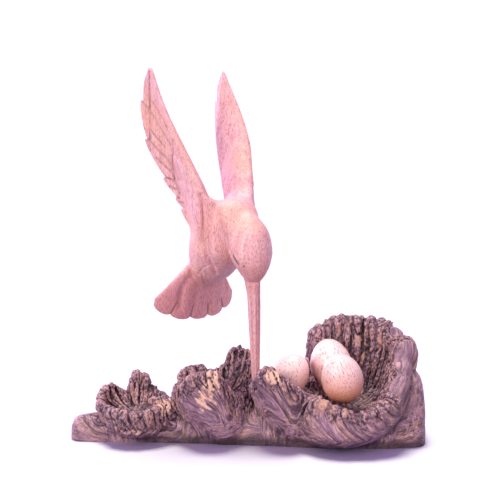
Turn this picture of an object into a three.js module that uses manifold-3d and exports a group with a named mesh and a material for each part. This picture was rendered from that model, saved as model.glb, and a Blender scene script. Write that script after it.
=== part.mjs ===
// A carved long-billed bird hovering over a nest. The pale bird stands on its own bill in a length of burl wood
// whose natural cups open upwards, and three loose wooden eggs lie in the largest cup.
//
// Millimetres. +X runs along the log towards the nest, +Y to the back and +Z up. The origin is under the middle
// of the whole carving, on the surface that it stands on.

import * as THREE from "three";
import { mergeVertices } from "three/addons/utils/BufferGeometryUtils.js";
import Module from "manifold-3d";

const wasm = await Module();
wasm.setup();

// Driving dimensions
const FIT_GAP = 0.3; // air left round a piece that sits in the burl
const CUT_MARGIN = 40; // how far a cutter runs past what it cuts

const BIRD = {
  heading: -50, // degrees that the bird faces away from +X, towards the front
  foot: { x: 4.6, y: 0 }, // where the bill meets the burl
};

// The bird's own frame is [forward, left, up], measured from the ground under the bill's foot.
const TORSO = [
  { at: [-24, 192], deep: 4, wide: 5 },
  { at: [-27, 187], deep: 10, wide: 13 },
  { at: [-32, 179], deep: 17, wide: 19 },
  { at: [-40, 168], deep: 22.5, wide: 24 },
  { at: [-45, 157], deep: 24, wide: 26 },
  { at: [-51, 144], deep: 20.3, wide: 24.5 },
  { at: [-56, 132], deep: 14.5, wide: 20 },
  { at: [-60.5, 123], deep: 7.5, wide: 12 },
  { at: [-62.5, 117], deep: 3, wide: 5 },
];
const NAPE = [
  { at: [-29, 193], deep: 4, wide: 11 },
  { at: [-25.5, 188], deep: 9.5, wide: 17 },
  { at: [-22, 180], deep: 13.5, wide: 18 },
  { at: [-21, 172], deep: 15, wide: 17.5 },
  { at: [-21, 163], deep: 12, wide: 13 },
];
const HEAD = [
  { at: [-18, 185], deep: 5, wide: 4 },
  { at: [-16, 181], deep: 9.5, wide: 8.6 },
  { at: [-13, 175], deep: 13.4, wide: 12.6 },
  { at: [-9.7, 167], deep: 16.8, wide: 16.6 },
  { at: [-7.5, 159], deep: 17.8, wide: 17.8 },
  { at: [-5, 151], deep: 17, wide: 17.2 },
  { at: [-3.3, 143], deep: 13.9, wide: 14.2 },
  { at: [-2.6, 136], deep: 10, wide: 10.4 },
  { at: [-2.3, 131], deep: 6, wide: 6.5 },
  { at: [-2.2, 128.5], deep: 2.5, wide: 3 },
];
const BILL = [
  { at: [0, 28], deep: 3, wide: 3 },
  { at: [0, 50], deep: 3.3, wide: 3.3 },
  { at: [-0.5, 69], deep: 3.9, wide: 3.9 },
  { at: [-1.4, 95], deep: 4.8, wide: 4.8 },
  { at: [-2.5, 119], deep: 5.5, wide: 5.3 },
  { at: [-3.4, 125], deep: 6.4, wide: 5.6 },
  { at: [-4.2, 131], deep: 7, wide: 6 },
  { at: [-6.4, 138], deep: 8.4, wide: 6.8 },
  { at: [-9.8, 145], deep: 10.2, wide: 7 },
];

// The back between the wings dips in the middle and sweeps up into both shoulders
const SADDLE = { forward: -39.5, dip: 185.8, reach: 27, climb: 11.5, deep: 11, high: 6 };

// The left wing from its root in the body to its tip, one feather from each station to the next. `half` is half
// the thickness of the muscled front part and `share` is the part of the chord that it takes.
const WING = [
  { lead: [-34, 11, 140], trail: [-64, 11, 142], half: 10, share: 1 },
  { lead: [-30.5, 19, 170], trail: [-63.5, 20, 169], half: 12, share: 1 },
  { lead: [-31, 23.5, 184], trail: [-66.5, 23.5, 183.5], half: 10.5, share: 1 },
  { lead: [-31.9, 24.4, 191], trail: [-71.5, 25.5, 191.5], half: 8.8, share: 0.97 },
  { lead: [-34, 25.5, 201], trail: [-82.3, 30, 207], half: 7, share: 0.76 },
  { lead: [-40.8, 29.6, 216], trail: [-97, 37, 237], half: 5, share: 0.5 },
  { lead: [-50, 35, 234], trail: [-99, 38.6, 267], half: 3.4, share: 0.32 },
  { lead: [-65.4, 38.4, 258], trail: [-95, 38.1, 281], half: 2, share: 0.15 },
  { lead: [-86, 38.2, 290], trail: [-88, 38.2, 291.5], half: 0.8, share: 0.1 },
];
const FIRST_FEATHER = 1; // the station where the first free feather begins
const HALF_FEATHER = 1.3; // half a feather's thickness
// How far each feather's end stands out past the start of the next, how far the tip feather lies inside the one
// before it, how full the feathers' outer edges are, and how far each stands proud of the next on both faces
const WING_EDGES = {
  left: { step: 0.5, tipStep: 2.6, drawnIn: 1.2, belly: 0, lap: 0 },
  right: { step: 3.4, tipStep: 3.4, drawnIn: 0, belly: 1.2, lap: 0.6 },
};
const CAMBER = { root: 4.6, left: 7.5, right: 4.6 }; // how far a wing bulges towards the other wing
const FOLD = 0.76; // share of the chord where the trailing part bends outwards
const RIGHT_WING_REACH = { from: 180, by: 1.06 }; // the right wing is a little longer above this height

const TAIL = {
  apex: [-61.9, 0, 155],
  pitch: 84.4, // degrees that it points below the level, backwards
  roll: 4.2, // degrees that it hangs lower on the left
  start: 18, // from the apex to where it leaves the body
  length: 67.5,
  spread: { left: 39.6, right: 40.6 }, // degrees from the middle line to each outer edge
  longer: { left: 0.05, right: 0.1 }, // how much longer the outer feathers of each side are
  feathers: 5,
  notch: 2.6,
  half: 1.9,
  bend: 9.2, // how far the outer corners curl back
};

const EGGS = {
  egg_left: { at: [32.8, -3, 53.8], radius: 15, tall: 18, lean: [10, 30, 0] },
  egg_back: { at: [66.7, 18, 57.2], radius: 17.2, tall: 20.5, lean: [-14, -12, 0] },
  egg_front: { at: [73.8, -17, 54.8], radius: 16.8, tall: 20.5, lean: [10, -12, 0] },
};

// Half depths and heights of the log along its length
const LOG = {
  left: -146,
  right: 142.6,
  stations: [
    { front: 12, back: 13, high: 19.5 },
    { front: 13, back: 15, high: 20.5 },
    { front: 15, back: 19, high: 23 },
    { front: 18, back: 23, high: 27 },
    { front: 22, back: 27, high: 33 },
    { front: 26, back: 33, high: 40 },
    { front: 31, back: 39, high: 46 },
    { front: 31, back: 40, high: 51 },
    { front: 27, back: 36, high: 59 },
  ],
  squareness: 40, // how square the sawn ends are
};

// Each cup: its floor, the crest of its wall [x, y, z, thickness] from the left side round by the front, the right
// and the back, the height of its underside, how far its foot flows to the right, how far its wall swells, and the
// folds round it with how far they rise.
const CUPS = {
  small: {
    floor: [-92, -5, 23],
    crest: [
      [-122.5, -2, 34, 5],
      [-114, -19, 31, 5],
      [-100, -27, 29, 6],
      [-86, -26, 28, 6],
      [-76, -20, 31, 6],
      [-63, -6, 32, 8],
      [-70, 8, 32, 6],
      [-80, 14, 42, 5],
      [-89, 16, 50, 5],
      [-97, 16, 49, 5],
      [-100.5, 14, 34, 5],
      [-106, 12, 35, 5],
      [-112, 9, 43, 5],
      [-119, 4, 41, 5],
    ],
    under: 2,
    flow: 3,
    swell: 0.05,
    folds: 11,
    rise: 1.2,
  },
  middle: {
    floor: [-28, -7, 36],
    crest: [
      [-61, -6, 37, 6],
      [-54, -20, 51, 6],
      [-45, -28, 61, 7],
      [-35, -31, 65, 7],
      [-26, -29, 64, 7],
      [-21, -24, 53, 7],
      [-14, -17, 42, 7],
      [-6, -9, 40, 8],
      [0, 2, 46, 8],
      [0, 10, 61, 7],
      [-4, 15, 71, 6],
      [-11, 17, 73, 6],
      [-17, 17, 66, 6],
      [-24, 16, 55, 6],
      [-34, 14, 52, 5],
      [-40, 12, 57, 5],
      [-48, 9, 57, 5],
      [-56, 3, 52, 5],
    ],
    under: -6,
    flow: 14,
    swell: 0.1,
    folds: 13,
    rise: 1.5,
  },
  front: {
    floor: [28, -4, 39],
    crest: [
      [4, -10, 46, 7],
      [7, -24, 60, 7],
      [13, -32, 68, 7],
      [21, -35, 67, 7],
      [30, -34, 58, 8],
      [38, -29, 49, 8],
      [45, -20, 40, 8],
      [50, -6, 37, 8],
      [45, 14, 39, 8],
      [29, 22, 44, 7],
      [15, 18, 52, 7],
      [8, 8, 53, 7],
    ],
    under: -6,
    flow: 14,
    swell: 0.08,
    folds: 9,
    rise: 1.2,
  },
  nest: {
    floor: [79, -8, 27],
    crest: [
      [45, -22, 40, 9],
      [50, -34, 41, 9],
      [57, -42, 43, 9],
      [66, -47, 40, 9],
      [77, -50, 37, 9],
      [89, -49, 37, 10],
      [102, -44, 40, 12],
      [113, -34, 47, 14],
      [120, -20, 59, 15],
      [123, -4, 73, 15],
      [121, 14, 84, 14],
      [114, 28, 89, 11],
      [105, 34, 91, 8],
      [93, 37, 92, 7],
      [80, 38, 93, 7],
      [68, 37, 92, 7],
      [60, 35, 88, 7],
      [52.5, 32, 80, 6],
      [52.5, 29, 71, 6],
      [57, 24, 61, 5],
      [54, 14, 52, 6],
      [45, 0, 44, 8],
    ],
    under: -3,
    flow: -12,
    swell: 0.14,
    folds: 22,
    rise: 2,
  },
};
// A second fold of bark behind the nest's right wall, and smaller knobs between the eggs and in the small cup
const KNOBS = [
  { at: [126.5, 10, 66], size: [11, 16, 16], around: 14, rings: 10 },
  { at: [46, 14, 55], size: [3, 3.5, 9], around: 8, rings: 6 },
  { at: [-101, 11, 36], size: [1.9, 2.5, 6.5], around: 7, rings: 5 },
];
const BELOW_GROUND = 8; // how far the log runs down before its flat bottom is sawn off

const COLOURS = {
  bird: "#dba79f",
  egg: "#e6c3b0",
  burl: "#7b5a58",
};

const vector = (point) => new THREE.Vector3(...point);
const mix = THREE.MathUtils.lerp;
const radians = THREE.MathUtils.degToRad;
const joined = (shapes) => shapes.reduce((sum, shape) => sum.add(shape));
const without = (body, cutters) => cutters.reduce((left, cutter) => left.subtract(cutter), body);

/** Moves every vertex of a three.js geometry to the place that `place` gives for its position and its uv. */
function mapped(geometry, place) {
  const position = geometry.getAttribute("position");
  const uv = geometry.getAttribute("uv");
  for (let i = 0; i < position.count; i++) {
    const from = new THREE.Vector3().fromBufferAttribute(position, i);
    const to = place(from, uv.getX(i), uv.getY(i));
    position.setXYZ(i, to.x, to.y, to.z);
  }
  return geometry;
}

/** A closed skin: `place(turn, ring)` gives a point for a turn of 0 to 1 round it and a ring of 0 to `rings`. */
function skin(around, rings, place) {
  const ball = new THREE.SphereGeometry(1, around, rings);
  return mapped(ball, (_, u, v) => place(u % 1, Math.round((1 - v) * rings)));
}

/** A closed plate: `place(column, row, side)` gives a point on one of its two faces, where side is -1 or 1. */
function plate(columns, rows, place) {
  const slab = new THREE.BoxGeometry(1, 1, 1, columns, rows, 1);
  return mapped(slab, ({ x, y, z }) =>
    place(Math.round((x + 0.5) * columns), Math.round((y + 0.5) * rows), Math.sign(z)),
  );
}

/** The manifold solid of a closed geometry, with its faces turned outwards. */
function solid(geometry) {
  const bare = new THREE.BufferGeometry();
  bare.setAttribute("position", geometry.getAttribute("position"));
  bare.setIndex(geometry.getIndex());
  const merged = mergeVertices(bare, 1e-3);
  const vertProperties = merged.getAttribute("position").array;
  const build = (triVerts) => new wasm.Manifold(new wasm.Mesh({ numProp: 3, vertProperties, triVerts }));
  const triVerts = new Uint32Array(merged.getIndex().array);
  const made = build(triVerts);
  return made.volume() < 0 ? build(triVerts.reverse()) : made;
}

/** A three.js geometry of a manifold solid. */
function geometryOf(shape) {
  const mesh = shape.getMesh();
  const geometry = new THREE.BufferGeometry();
  geometry.setAttribute("position", new THREE.BufferAttribute(mesh.vertProperties, mesh.numProp));
  geometry.setIndex(new THREE.BufferAttribute(mesh.triVerts, 1));
  geometry.computeVertexNormals();
  return geometry;
}

/** Eases through what `read` gives for each station, at a share of 0 to 1 along them. */
function eased(stations, read) {
  const curve = new THREE.CatmullRomCurve3(stations.map((station) => vector(read(station))));
  return (share) => curve.getPoint(THREE.MathUtils.clamp(share, 0, 1));
}

/** A body of oval sections down a line in the bird's middle plane, `grow` larger all round. */
function ovalBody(stations, around, rings, grow = 0) {
  const middle = eased(stations, ({ at }) => [at[0], 0, at[1]]);
  const size = eased(stations, ({ deep, wide }) => [deep + grow, wide + grow, 0]);
  return skin(around, rings, (turn, ring) => {
    const share = (ring - 1) / (rings - 2);
    const centre = middle(share);
    if (share < 0 || share > 1) return centre;
    const run = middle(share + 0.01).sub(middle(share - 0.01)).normalize();
    const { x: deep, y: wide } = size(share);
    const angle = turn * 2 * Math.PI;
    centre.addScaledVector(new THREE.Vector3(-run.z, 0, run.x), deep * Math.cos(angle));
    return centre.setY(wide * Math.sin(angle));
  });
}

/** The rows of a wing: its place among the stations, and how far along its own feather each row is. */
function wingRows() {
  const tip = WING.length - 1;
  const longest = tip - 2; // the tip feather takes the last two spaces between stations
  const rows = [{ span: 0, along: 1 }];
  for (let start = FIRST_FEATHER; start < longest; start++) {
    for (const along of [0, 0.5, 0.98]) rows.push({ span: start + along, along });
  }
  for (const along of [0, 0.25, 0.5, 0.75, 1]) rows.push({ span: mix(longest, tip, along), along });
  return rows;
}

/** Half a wing's thickness at a share of its chord, given the lap, the muscled part and the share that takes. */
function halfThickness(chord, lap, { x: muscled, y: share }) {
  const across = Math.min(1, chord / share);
  const muscle = Math.sqrt(Math.min(1, across / 0.3)) * (1 - across ** 2);
  const nose = Math.min(1, 0.45 + chord / 0.1);
  const feather = HALF_FEATHER * (1.1 - 0.4 * chord) + lap * Math.min(1, chord / 0.2);
  return feather * nose + Math.max(0, muscled - HALF_FEATHER) * muscle;
}

/** How far inside the line of the stations a wing's trailing edge lies. */
function edgeInset({ step, tipStep, drawnIn, belly }, span, along) {
  const { smoothstep } = THREE.MathUtils;
  const free = smoothstep(span, 1, 2) * (1 - smoothstep(span, 6, 7));
  const stepped = span < WING.length - 3 ? step : tipStep;
  return stepped * (1 - along) + drawnIn * free - belly * Math.sin(Math.PI * along);
}

/** How far a wing bulges inwards, given how far it does away from its root. */
function camber(free, span, chord) {
  const most = mix(CAMBER.root, free, THREE.MathUtils.smoothstep(span, 2.5, 4.5));
  if (chord > FOLD) return most * (1 - (chord - FOLD) / (1 - FOLD));
  return most * Math.sin((Math.PI / 2) * (chord / FOLD)) ** 1.2;
}

/** One raised wing: the left one, or its mirror image on the right. */
function wing(isLeft) {
  const side = isLeft ? "left" : "right";
  const edge = WING_EDGES[side];
  const lead = eased(WING, (station) => station.lead);
  const trail = eased(WING, (station) => station.trail);
  const muscle = eased(WING, ({ half, share }) => [half, share, 0]);
  const chords = [0, 0.03, 0.1, 0.22, 0.36, 0.52, 0.66, FOLD, 1];
  const rows = wingRows();
  return plate(chords.length - 1, rows.length - 1, (column, row, face) => {
    const chord = chords[column];
    const { span, along } = rows[row];
    const share = span / (WING.length - 1);
    const from = lead(share);
    const to = trail(share);
    const back = to.clone().sub(from).normalize();
    to.addScaledVector(back, -edgeInset(edge, span, along));
    const point = from.lerp(to, chord);
    const bulge = camber(CAMBER[side], span, chord) * Math.min(1, 3 * (1 - share), 5 * share);
    point.y += face * halfThickness(chord, edge.lap * along, muscle(share)) - bulge;
    if (isLeft) return point;
    point.y *= -1;
    point.z += Math.max(0, point.z - RIGHT_WING_REACH.from) * (RIGHT_WING_REACH.by - 1);
    return point;
  });
}

/** The spread tail: a fan with a ridge down each feather and a scalloped end. */
function tail() {
  const { apex, pitch, roll, start, length, spread, longer, feathers, notch, half, bend } = TAIL;
  const down = new THREE.Vector3(-Math.cos(radians(pitch)), 0, -Math.sin(radians(pitch)));
  const back = new THREE.Vector3(down.z, 0, -down.x);
  const columns = feathers * 4;
  const rows = 4;
  const fan = plate(columns, rows, (column, row, face) => {
    const across = (column / columns) * 2 - 1;
    const side = across < 0 ? "right" : "left";
    const outward = row / rows;
    const edge = Math.abs(((column / 4) % 1) * 2 - 1); // 1 between feathers and 0 down the middle of each
    const inner = Math.abs(across) < 1;
    const rounded = 1 + longer[side] * Math.abs(across) ** 1.3 - 0.12 * across ** 8;
    const reach = mix(start, length * rounded - (inner ? notch * edge ** 3 : 0), outward);
    const turn = across * radians(spread[side]);
    const point = down.clone().multiplyScalar(reach * Math.cos(turn));
    point.y += reach * Math.sin(turn);
    const curl = bend * (across * (reach / length)) ** 2;
    const thick = half * (1.4 - 0.7 * outward) + 0.5 * (1 - edge ** 2);
    return point.addScaledVector(back, curl + face * thick);
  });
  return fan.rotateX(-radians(roll)).translate(...apex);
}

/** The back between the wings: an oval bar that dips in the middle. */
function saddle() {
  const { forward, dip, reach, climb, deep, high } = SADDLE;
  const rings = 10;
  return skin(10, rings, (turn, ring) => {
    const across = (ring / rings) * 2 - 1;
    const thick = Math.sqrt(1 - across ** 8);
    const angle = turn * 2 * Math.PI;
    const up = dip + climb * Math.abs(across) ** 2.2 + high * thick * Math.sin(angle);
    return new THREE.Vector3(forward + deep * thick * Math.cos(angle), reach * across, up);
  });
}

/** The whole bird in its own frame. */
function bird() {
  return joined([
    solid(saddle()),
    solid(ovalBody(TORSO, 20, 15)),
    solid(ovalBody(NAPE, 20, 8)),
    solid(ovalBody(HEAD, 24, 13)),
    solid(ovalBody(BILL, 12, 11)),
    solid(wing(true)),
    solid(wing(false)),
    solid(tail()),
  ]);
}

/** Turns and moves a geometry from the bird's frame to the carving's. */
function asBird(geometry) {
  return geometry.rotateZ(radians(BIRD.heading)).translate(BIRD.foot.x, BIRD.foot.y, 0);
}

/** An egg, blunt below and finer above, leaning by degrees about X and Y, `grow` larger all round. */
function egg({ at, radius, tall, lean }, grow = 0) {
  const shape = new THREE.SphereGeometry(1, 16, 11).rotateX(Math.PI / 2);
  mapped(shape, ({ x, y, z }) => {
    const plump = (radius + grow) * (1 - 0.1 * z);
    return new THREE.Vector3(x * plump, y * plump, z * (tall + grow));
  });
  return shape.rotateX(radians(lean[0])).rotateY(radians(lean[1])).translate(...at);
}

/** The log, with an arched section and squarish sawn ends. */
function log() {
  const size = eased(LOG.stations, ({ front, back, high }) => [front, back, high]);
  const rings = 20;
  return skin(18, rings, (turn, ring) => {
    const run = (ring / rings) * 2 - 1;
    const along = Math.sign(run) * (1 - (1 - Math.abs(run)) ** 1.7);
    const { x: front, y: back, z: high } = size((along + 1) / 2);
    const shrink = (1 - Math.abs(along) ** LOG.squareness) ** (1 / 3);
    const angle = turn * 2 * Math.PI;
    const side = Math.cos(angle) * shrink;
    const up = Math.sign(Math.sin(angle)) * Math.abs(Math.sin(angle)) ** 0.8 * shrink;
    const x = mix(LOG.left, LOG.right, (along + 1) / 2);
    return new THREE.Vector3(x, side * (side < 0 ? front : back), up * (up < 0 ? BELOW_GROUND : high));
  });
}

/** The crest of a cup: what its wall is like at a turn of 0 to 1 round it. */
function crestOf({ floor, crest, folds, rise }) {
  const centre = vector(floor);
  const line = new THREE.CatmullRomCurve3(crest.map(([x, y, z]) => vector([x, y, z])), true);
  const walls = new THREE.CatmullRomCurve3(crest.map((point) => vector([point[3], 0, 0])), true);
  return (turn) => {
    const edge = line.getPoint(turn);
    const fold = Math.abs(Math.sin(Math.PI * folds * turn)) - 0.6;
    const outward = edge.clone().sub(centre).setZ(0);
    const radius = outward.length();
    return {
      outward: outward.normalize(),
      radius: radius + fold * 0.8,
      wall: walls.getPoint(turn).x,
      top: edge.z + rise * fold,
      fold,
    };
  };
}

/** A point over a cup's floor, `radius` out and at a height. */
function overFloor({ floor }, { outward }, radius, height) {
  return vector(floor).addScaledVector(outward, radius).setZ(height);
}

/** How far out and how far up a round bowl's wall is, from 0 to 1, at a share of its way from floor to brim. */
function bowl(climb) {
  const angle = (climb * Math.PI) / 2;
  return { out: Math.sin(angle) ** 0.85, up: 1 - Math.cos(angle) };
}

/** The filled mass of a cup, from its underside out to its wall and up to its crest. */
function cupMass(cup, around) {
  const crest = crestOf(cup);
  const climbs = [0, 0.3, 0.58, 0.82, 1];
  const lid = climbs.length + 1;
  return skin(around, lid, (turn, ring) => {
    const here = crest(turn);
    if (ring === lid) return overFloor(cup, here, 0, cup.floor[2] + 10);
    if (ring === climbs.length) return overFloor(cup, here, here.radius, here.top);
    const { out, up } = bowl(climbs[ring]);
    const swell = 1 + cup.swell * Math.sin(Math.PI * climbs[ring]);
    const ripple = here.fold * 1.2 * climbs[ring] ** 2;
    const radius = (here.radius + here.wall / 2) * out * swell + ripple;
    const point = overFloor(cup, here, radius, mix(cup.under, here.top - 0.35 * here.wall, up));
    point.x += cup.flow * (1 - up);
    return point;
  });
}

/** The hollow of a cup, from its floor up its inner wall and straight up from its crest. */
function cupHollow(cup, around) {
  const crest = crestOf(cup);
  const climbs = [0, 0.3, 0.55, 0.78, 1];
  const above = Math.max(...cup.crest.map((point) => point[2])) + CUT_MARGIN;
  const lid = climbs.length + 2;
  return skin(around, lid, (turn, ring) => {
    const here = crest(turn);
    if (ring === lid) return overFloor(cup, here, 0, above);
    if (ring === lid - 1) return overFloor(cup, here, here.radius - 0.6, above);
    if (ring === lid - 2) return overFloor(cup, here, here.radius - 0.8, here.top + 0.3);
    const { out, up } = bowl(climbs[ring]);
    const ripple = here.fold * 1.8 * climbs[ring];
    const radius = (here.radius - here.wall / 2) * out + ripple;
    return overFloor(cup, here, radius, mix(cup.floor[2], here.top - 0.35 * here.wall, up));
  });
}

/** A rounded lump of bark. */
function knob({ at, size, around, rings }) {
  return new THREE.SphereGeometry(1, around, rings).scale(...size).translate(...at);
}

/** The burl: the log with its cups, hollowed, sawn flat below and dented where the bill and the eggs sit. */
function burl() {
  const cups = Object.values(CUPS);
  const ground = new THREE.BoxGeometry(500, 300, CUT_MARGIN).translate(0, 0, -CUT_MARGIN / 2);
  const knobs = KNOBS.map(knob);
  const socket = asBird(ovalBody(BILL, 12, 11, FIT_GAP)).translate(0, 0, -FIT_GAP);
  const mass = joined([log(), ...knobs, ...cups.map((cup) => cupMass(cup, cup.folds * 3))].map(solid));
  const cutters = [
    ground,
    socket,
    ...cups.map((cup) => cupHollow(cup, cup.folds * 3)),
    ...Object.values(EGGS).map((size) => egg(size, FIT_GAP)),
  ];
  return without(mass, cutters.map(solid));
}

/** The largest part of a solid, where cuts have left crumbs beside it. */
const largest = (shape) => shape.decompose().reduce((a, b) => (a.volume() > b.volume() ? a : b));

/** A named piece of the carving in its own wood. */
function piece(name, geometry, color, roughness) {
  const mesh = new THREE.Mesh(geometry, new THREE.MeshStandardMaterial({ color, roughness, metalness: 0 }));
  mesh.name = name;
  return mesh;
}

const carving = new THREE.Group();
carving.add(
  piece("burl_base", geometryOf(largest(burl())), COLOURS.burl, 0.75),
  piece("bird", asBird(geometryOf(bird())), COLOURS.bird, 0.5),
  ...Object.entries(EGGS).map(([name, size]) => piece(name, egg(size), COLOURS.egg, 0.4)),
);

const bounds = new THREE.Box3().setFromObject(carving, true);
const middle = bounds.getCenter(new THREE.Vector3());
carving.position.set(-middle.x, -middle.y, -bounds.min.z);

export default carving;
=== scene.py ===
"""The looks of a carved long-billed bird hovering over its nest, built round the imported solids.

A pale hardwood bird stands on its own bill in a length of burl wood, and three turned wooden eggs lie in the
largest of the burl's natural cups. Shapes are modelled in millimetres in the carving's own frame: +X runs
along the log towards the nest, +Y to the back and +Z up, from a point on the ground near the bill's foot.
The bird is modelled in its own [forward, left, up] frame, from the ground under its bill. Finished meshes
are in metres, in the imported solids' frame.
"""

from __future__ import annotations

import itertools
import logging
import math
from collections.abc import Callable, Sequence
from dataclasses import dataclass
from enum import Enum
from functools import partial

import bpy
import numpy as np
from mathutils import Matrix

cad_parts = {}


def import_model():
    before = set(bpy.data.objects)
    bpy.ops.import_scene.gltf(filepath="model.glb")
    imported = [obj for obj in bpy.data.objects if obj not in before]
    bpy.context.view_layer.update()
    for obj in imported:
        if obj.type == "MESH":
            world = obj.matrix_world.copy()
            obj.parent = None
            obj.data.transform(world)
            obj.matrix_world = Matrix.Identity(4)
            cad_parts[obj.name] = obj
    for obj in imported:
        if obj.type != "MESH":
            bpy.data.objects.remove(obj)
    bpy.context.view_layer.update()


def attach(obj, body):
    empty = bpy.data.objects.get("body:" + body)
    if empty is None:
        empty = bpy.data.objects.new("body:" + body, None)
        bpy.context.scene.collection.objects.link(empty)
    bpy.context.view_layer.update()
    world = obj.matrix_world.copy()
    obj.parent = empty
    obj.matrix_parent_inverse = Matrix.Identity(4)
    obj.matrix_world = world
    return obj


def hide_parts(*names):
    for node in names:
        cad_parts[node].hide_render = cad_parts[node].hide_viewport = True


LOGGER = logging.getLogger("carving")
MM = 0.001
FRAME_SHIFT = (1.071, -21.532, 0.0)  # mm from the carving's own origin to the frame's
BODY = "root"

Place = Callable[..., np.ndarray]  # gives the points of a blank for shares along it


class Slot(Enum):
    """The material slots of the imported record."""

    BIRD = "bird_wood"
    EGG = "egg_wood"
    BURL = "burl_wood"


# Curves and random fields


@dataclass(frozen=True)
class Line:
    """A smooth line through points of any number of coordinates, read by a share of 0 to 1 along it."""

    points: Sequence[Sequence[float]]
    closed: bool = False

    def at(self, share: np.ndarray) -> np.ndarray:
        """Reads the line.

        Args:
            share: How far along the line, from 0 to 1, for each place wanted.

        Returns:
            One row of coordinates for each share.
        """
        points = np.array(self.points, float)
        count = len(points)
        spans = count if self.closed else count - 1
        place = (np.mod(share, 1.0) if self.closed else np.clip(share, 0.0, 1.0)) * spans
        start = np.minimum(place.astype(int), spans - 1)
        if self.closed:
            before, here, after, beyond = (points[(start + step) % count] for step in (-1, 0, 1, 2))
        else:
            padded = np.vstack([2 * points[0] - points[1], points, 2 * points[-1] - points[-2]])
            before, here, after, beyond = (padded[start + step] for step in range(4))
        first, middle, last = (root_gap(a, b) for a, b in ((before, here), (here, after), (after, beyond)))
        leave = ((here - before) / first - (after - before) / (first + middle)) * middle + (after - here)
        arrive = (after - here) + ((beyond - after) / last - (beyond - here) / (middle + last)) * middle
        part = (place - start)[..., None]
        square = (-3 * here + 3 * after - 2 * leave - arrive) * part**2
        return here + leave * part + square + (2 * here - 2 * after + leave + arrive) * part**3


def root_gap(a: np.ndarray, b: np.ndarray) -> np.ndarray:
    """The square root of the distance between each pair of points, and never quite nothing.

    Args:
        a: Rows of coordinates.
        b: As many rows.

    Returns:
        A column with one value for each pair.
    """
    return np.sqrt(np.maximum(np.linalg.norm(b - a, axis=-1, keepdims=True), 1e-6))


@dataclass(frozen=True)
class Scatter:
    """Smooth random values through space, the same on every run."""

    seed: int

    def at(self, points: np.ndarray) -> np.ndarray:
        """Reads the field, whose features are one unit wide.

        Args:
            points: Rows of three coordinates.

        Returns:
            A value of -1 to 1 for each row.
        """
        table = np.random.default_rng(self.seed).uniform(-1.0, 1.0, 4096)
        cell = np.floor(points).astype(np.int64)
        part = points - cell
        blend = part * part * (3 - 2 * part)
        total = np.zeros(len(points))
        for corner in itertools.product((0, 1), repeat=3):
            x, y, z = ((cell + corner) * (73856093, 19349663, 83492791)).T
            share = np.prod(np.where(corner, blend, 1 - blend), axis=1)
            total += share * table[(x ^ y ^ z) & 4095]
        return total

    def layered(self, points: np.ndarray, layers: int) -> np.ndarray:
        """Adds finer and weaker layers of the field to itself.

        Args:
            points: Rows of three coordinates.
            layers: How many layers, each half as wide and half as strong as the last.

        Returns:
            A value of about -1 to 1 for each row.
        """
        sizes = [2.0**layer for layer in range(layers)]
        return sum(self.at(points * size + 7.3 * size) / size for size in sizes)


def smooth_step(value: np.ndarray, low: float, high: float) -> np.ndarray:
    """Eases from 0 at `low` to 1 at `high`, which may be the lower of the two."""
    share = np.clip((value - low) / (high - low), 0.0, 1.0)
    return share * share * (3 - 2 * share)


def bump(value: np.ndarray, low: float, high: float, edge: float) -> np.ndarray:
    """1 between `low` and `high`, easing to 0 over `edge` outside them."""
    return smooth_step(value, low - edge, low) * smooth_step(value, high + edge, high)


def near_route(points: np.ndarray, route: np.ndarray, width: float) -> np.ndarray:
    """Finds how near each point is to a route of straight pieces.

    Args:
        points: Rows of three coordinates.
        route: Two or more rows of three coordinates.
        width: The distance at which the nearness has fallen to about a third.

    Returns:
        1 for a point on the route, easing to 0 away from it.
    """
    beyond = 3 * width  # past which nothing is left of the nearness
    low, high = route.min(axis=0) - beyond, route.max(axis=0) + beyond
    close = np.flatnonzero(np.all((points > low) & (points < high), axis=1))
    some = points[close]
    best = np.full(len(some), np.inf)
    for start, end in zip(route[:-1], route[1:]):
        run = end - start
        share = np.clip((some - start) @ run / max(float(run @ run), 1e-9), 0.0, 1.0)
        best = np.minimum(best, np.linalg.norm(some - start - share[:, None] * run, axis=1))
    nearness = np.zeros(len(points))
    nearness[close] = np.exp(-((best / width) ** 2))
    return nearness


def evened(route: np.ndarray) -> np.ndarray:
    """Takes the small bends out of a route.

    Args:
        route: Rows of three coordinates.

    Returns:
        As many rows, with both ends where they were.
    """
    smoothed = route.copy()
    for _ in range(14):
        smoothed[1:-1] = (smoothed[:-2] + 2 * smoothed[1:-1] + smoothed[2:]) / 4
    return smoothed


def way_out(turn: np.ndarray, share: np.ndarray) -> np.ndarray:
    """Finds the way out from a ball's middle.

    Args:
        turn: Turns of 0 to 1.
        share: Shares of 0 to 1 from one pole to the other.

    Returns:
        Rows one unit long.
    """
    level = np.sin(math.pi * share)
    x, y = level * np.cos(math.tau * turn), level * np.sin(math.tau * turn)
    return np.stack([x, y, np.cos(math.pi * share)], axis=1)


# Meshes


def select_only(piece: bpy.types.Object) -> None:
    """Makes one object the only one selected, and the active one.

    Args:
        piece: The object.
    """
    bpy.ops.object.select_all(action="DESELECT")
    piece.select_set(True)
    bpy.context.view_layer.objects.active = piece


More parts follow.
